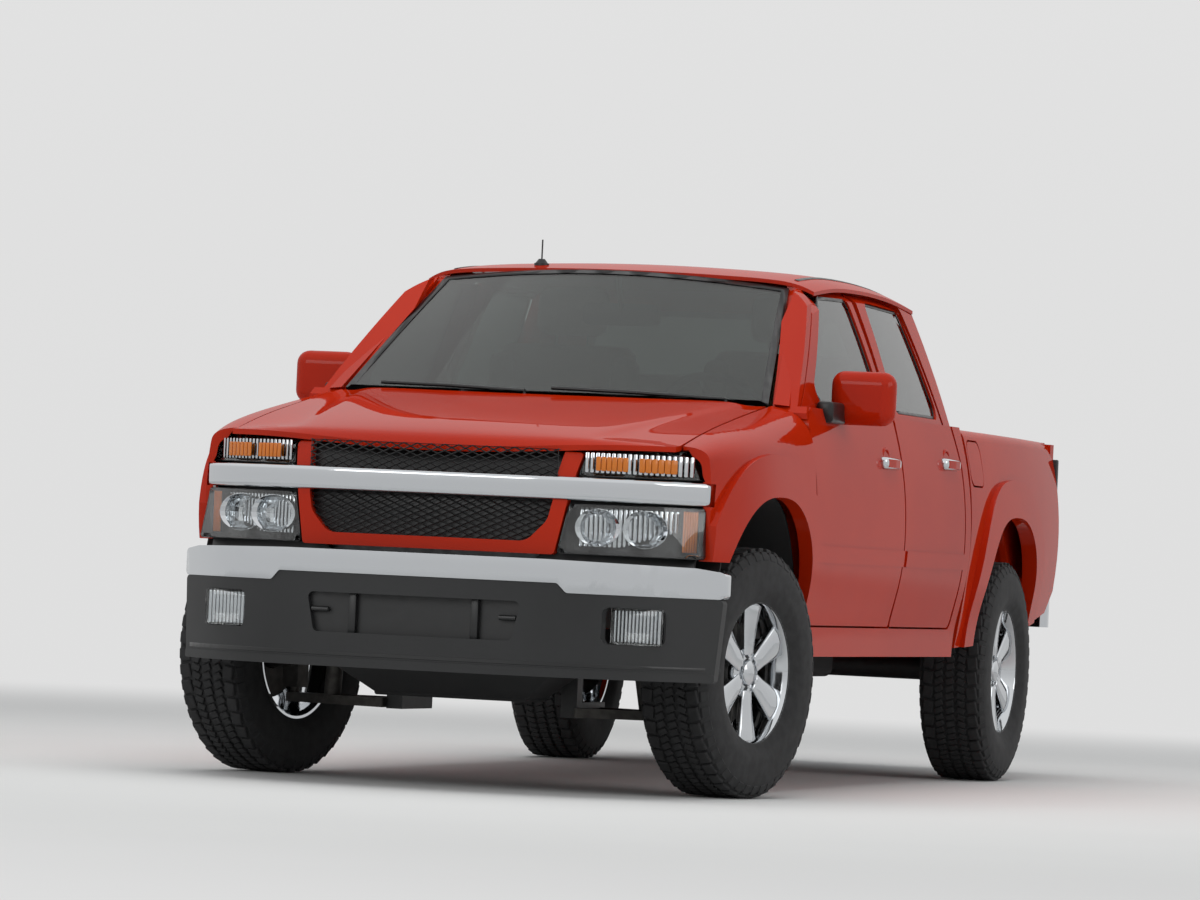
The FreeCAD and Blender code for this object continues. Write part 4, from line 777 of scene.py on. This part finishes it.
def bumper_inside():
    """Black plate of painted shade behind the air opening, with its two uprights and tow hooks."""
    # Painted shade: a black plate that closes the air opening.
    shade_plate = block((-345, 345), (-2582, -2574), (432, 585), 2, 1)
    parts = [shade_plate]
    for side in (1, -1):
        parts.append(block((side * 187 - 12, side * 187 + 12), (-2604, -2575), (440, 570), 5))
        parts.append(roll((side * 262, -2596, 512), (side * 312, -2596, 512), 8, 20))
        parts.append(roll((side * 268, -2596, 512), (side * 268, -2575, 512), 8, 20))
    return joined(*parts)


finished(bumper_inside(), "bumper_inside", BLACK, "root", "black_plastic")


# Chromed bars and bumper cover

def softened(node, width, segments):
    """Copy of a pressed or moulded part with its sharp edges rounded."""
    shape = from_cad(node)
    edit(shape)
    bpy.ops.mesh.select_all(action="SELECT")
    bpy.ops.mesh.dissolve_limited(angle_limit=math.radians(1.0))
    let_go()
    pick(shape)
    edge = shape.modifiers.new("edge", "BEVEL")
    edge.width = width * MM
    edge.segments = segments
    edge.limit_method = "ANGLE"
    edge.angle_limit = math.radians(40.0)
    bpy.ops.object.modifier_apply(modifier=edge.name)
    return shape


def nose_bar():
    """Rounded bright bar across the grille."""
    bar = block((-780, 780), (0, 26), (862, 931), 12.5, 5)
    cut_along(bar, [step * 0.041 for step in range(-18, 19)], (1.0, 0.0, 0.0))
    return follow_nose(bar, -3.0)


AHEAD_OF_TRUCK = -3.0
BUMPER_END = -2.2


def laid(strip, node, ahead):
    """Bends a flat strip, drawn at y = 0, onto the front of a solid."""
    def onto(place):
        start = Vector((place.x, AHEAD_OF_TRUCK, place.z))
        hit = frame["nodes"][node].ray_cast(start, Vector((0.0, 1.0, 0.0)))
        return Vector((0.0, (hit[1].y if hit[0] else BUMPER_END) - ahead * MM, 0.0))

    return bent(strip, onto)


def lip_groove_shade():
    """Black strip laid on the bumper cover, painted shade of the groove that sets off its lower lip."""
    strip = block((-824, 824), (0, 4), (378, 390), 1, 1)
    cut_along(strip, [step * 0.04 for step in range(-20, 21)], (1.0, 0.0, 0.0))
    return laid(strip, "front_bumper_cover", 1.2)


finished(nose_bar(), "nose_chrome", CHROME, "root", "chrome", "nose_bar", angle=40)
finished(softened("front_bumper_bar", 22, 5), "bumper_chrome", CHROME, "root", "chrome",
         "front_bumper_bar", angle=50)
# Black strip on the bumper cover: painted shade of a groove.
finished(lip_groove_shade(), "lip_groove_shade", BLACK, "root", "black_plastic")


FOG_FACE = -2408.0


def fog_lamp():
    """Fluted reflector and clear lens in front of the lamp's flat solid."""
    ribs = [block((a, a + 10.5), (FOG_FACE - 7, FOG_FACE + 1), (454, 550), 4)
            for a in range(554, 692, 11)]
    return joined(*ribs), block((549, 705), (FOG_FACE - 13, FOG_FACE - 10), (449, 555), 1.4, 2)


ribs, cover = fog_lamp()
finished(both_sides(ribs), "fog_reflectors", CHROME, "root", "chrome")
finished(both_sides(cover), "fog_lenses", LENS, "root", "lamp_glass")


# Roof strips

ABOVE_ROOF = 1.8
ROOF_EDGE = 1.6


def roof_strip():
    """Rubber strip in the roof ditch, laid on the pressed roof."""
    strip = block((560, 574), (-560, 690), (-2, 3), 1.2, 1)
    cut_along(strip, [step * 0.045 for step in range(-14, 17)], (0.0, 1.0, 0.0))

    def onto(place):
        start = Vector((place.x, place.y, ABOVE_ROOF))
        hit = frame["nodes"]["roof"].ray_cast(start, Vector((0.0, 0.0, -1.0)))
        return Vector((0.0, 0.0, hit[1].z if hit[0] else ROOF_EDGE))

    return bent(strip, onto)


finished(both_sides(roof_strip()), "roof_strips", BLACK, "root", "black_plastic")


# Tail lamp rims and skid plate

rim = block((718, 771), (2428, 2447), (792, 1128), 5, 3)
finished(both_sides(rim), "tail_lamp_rims", BLACK, "root", "black_plastic")
white = block((728, 761), (2436, 2457), (905, 962), 4, 3)
finished(both_sides(white), "reversing_lenses", LENS, "root", "lamp_glass")


def skid_plate():
    """Dished plate under the front axle."""
    plate = block((-330, 330), (-2300, -1980), (262, 352), 10, 3)
    edit(plate)
    choose(plate, lambda middle, normal: middle.z < 0.275)
    bpy.ops.transform.resize(value=(0.72, 0.7, 1.0), center_override=(0.0, -2.0, 0.262))
    let_go()
    return plate


finished(skid_plate(), "skid_plate", UNDERBODY, "root", "underbody_plastic")


# Studio

BACKDROP = 0.74
FLOOR_SIZE = 120.0
FADE_START = 4.5
FADE_END = 11.0
SWEEP_TOP = 0.5


def backdrop_rays(tree):
    """One for the rays that show the pale backdrop, straight or in gloss or glass."""
    path = add_node(tree, "ShaderNodeLightPath")
    seen = add_node(tree, "ShaderNodeMath",
                    {0: path.outputs["Is Camera Ray"], 1: path.outputs["Is Glossy Ray"]},
                    operation="MAXIMUM")
    seen = add_node(tree, "ShaderNodeMath",
                    {0: seen.outputs["Value"], 1: path.outputs["Is Transmission Ray"]},
                    operation="MAXIMUM")
    return seen.outputs["Value"]


def studio_floor():
    """Matt floor that keeps the shadow near the truck and fades into the backdrop."""
    bpy.ops.object.select_all(action="DESELECT")
    bpy.ops.mesh.primitive_plane_add(size=FLOOR_SIZE, location=(0.0, 0.0, -0.001))
    floor = bpy.context.object
    floor.name = "studio_floor"
    material, tree, surface, place = new_material(
        "matt_floor_paint", Roughness=0.9, Specular_IOR_Level=0.1)
    mottled(tree, surface, place, "Base Color", 4000.0, paint_hex("ECECEA"), paint_hex("F0F0EE"))
    distance = add_node(tree, "ShaderNodeVectorMath", {0: place}, operation="LENGTH")
    fade = add_node(tree, "ShaderNodeMapRange", {"Value": distance.outputs["Value"]},
                    interpolation_type="SMOOTHSTEP")
    fade.inputs["From Min"].default_value = FADE_START
    fade.inputs["From Max"].default_value = FADE_END
    share = add_node(tree, "ShaderNodeMath", {0: fade.outputs["Result"], 1: backdrop_rays(tree)},
                     operation="MULTIPLY")
    glow = add_node(tree, "ShaderNodeEmission", Color=(1.0, 1.0, 1.0, 1.0), Strength=BACKDROP)
    mixed = add_node(tree, "ShaderNodeMixShader",
                     {0: share.outputs["Value"], 1: surface.outputs["BSDF"],
                      2: glow.outputs["Emission"]})
    tree.links.new(mixed.outputs["Shader"], tree.nodes["Material Output"].inputs["Surface"])
    floor.data.materials.append(material)


def soft_lamp(name, place, aim, size, watts):
    light = bpy.data.lights.new(name, "AREA")
    light.shape = "RECTANGLE"
    light.size, light.size_y = size
    light.energy = watts
    lamp = bpy.data.objects.new(name, light)
    scene.collection.objects.link(lamp)
    lamp.location = place
    lamp.rotation_euler = (Vector(aim) - Vector(place)).to_track_quat("-Z", "Y").to_euler()
    return lamp


def studio_light():
    """Three soft lamps and a pale backdrop that lightens upwards."""
    overhead = soft_lamp("overhead_light", (0.0, -0.5, 7.0), (0.0, 0.0, 0.8), (7.0, 9.0), 300.0)
    overhead.visible_glossy = False
    soft_lamp("front_light", (-3.0, -12.0, 5.0), (0.0, -1.5, 0.8), (8.0, 4.0), 260.0)
    soft_lamp("side_light", (11.0, -3.0, 4.5), (0.0, 0.0, 0.9), (9.0, 4.0), 220.0)
    world = bpy.data.worlds.new("studio")
    scene.world = world
    world.use_nodes = True
    tree = world.node_tree
    plain = tree.nodes["Background"]
    plain.inputs["Color"].default_value = (0.75, 0.77, 0.8, 1.0)
    plain.inputs["Strength"].default_value = 0.4
    place = add_node(tree, "ShaderNodeTexCoord")
    height = add_node(tree, "ShaderNodeSeparateXYZ", {"Vector": place.outputs["Generated"]})
    sweep = add_node(tree, "ShaderNodeMapRange", {"Value": height.outputs["Z"]},
                     interpolation_type="SMOOTHSTEP")
    sweep.inputs["From Min"].default_value = 0.0
    sweep.inputs["From Max"].default_value = SWEEP_TOP
    sweep.inputs["To Min"].default_value = BACKDROP
    sweep.inputs["To Max"].default_value = 1.0
    white = add_node(tree, "ShaderNodeBackground", {"Strength": sweep.outputs["Result"]},
                     Color=(1.0, 1.0, 1.0, 1.0))
    mixed = add_node(tree, "ShaderNodeMixShader", {0: backdrop_rays(tree), 1: plain.outputs["Background"],
                                                   2: white.outputs["Background"]})
    tree.links.new(mixed.outputs["Shader"], tree.nodes["World Output"].inputs["Surface"])


CAMERA_PLACE = (6.24975, -22.01282, 0.68519)
CAMERA_AZIMUTH = math.radians(16.38)
CAMERA_ELEVATION = math.radians(-0.92)
CAMERA_ROLL = math.radians(2.69)
FOCAL_PIXELS = 6995.55
IMAGE_WIDTH = 1200.0


def photo_camera():
    lens = bpy.data.cameras.new("photo_camera")
    lens.sensor_width = 36.0
    lens.lens = FOCAL_PIXELS * lens.sensor_width / IMAGE_WIDTH
    lens.clip_end = 200.0
    camera = bpy.data.objects.new("photo_camera", lens)
    scene.collection.objects.link(camera)
    back = Vector((math.sin(CAMERA_AZIMUTH) * math.cos(CAMERA_ELEVATION),
                   -math.cos(CAMERA_AZIMUTH) * math.cos(CAMERA_ELEVATION),
                   math.sin(CAMERA_ELEVATION)))
    level = Vector((0.0, 0.0, 1.0)).cross(back).normalized()
    up = back.cross(level)
    right = level * math.cos(CAMERA_ROLL) + up * math.sin(CAMERA_ROLL)
    above = up * math.cos(CAMERA_ROLL) - level * math.sin(CAMERA_ROLL)
    turn = Matrix((right, above, back)).transposed().to_4x4()
    camera.matrix_world = Matrix.Translation(CAMERA_PLACE) @ turn
    scene.camera = camera


studio_floor()
studio_light()
photo_camera()
scene.view_settings.view_transform = "Standard"
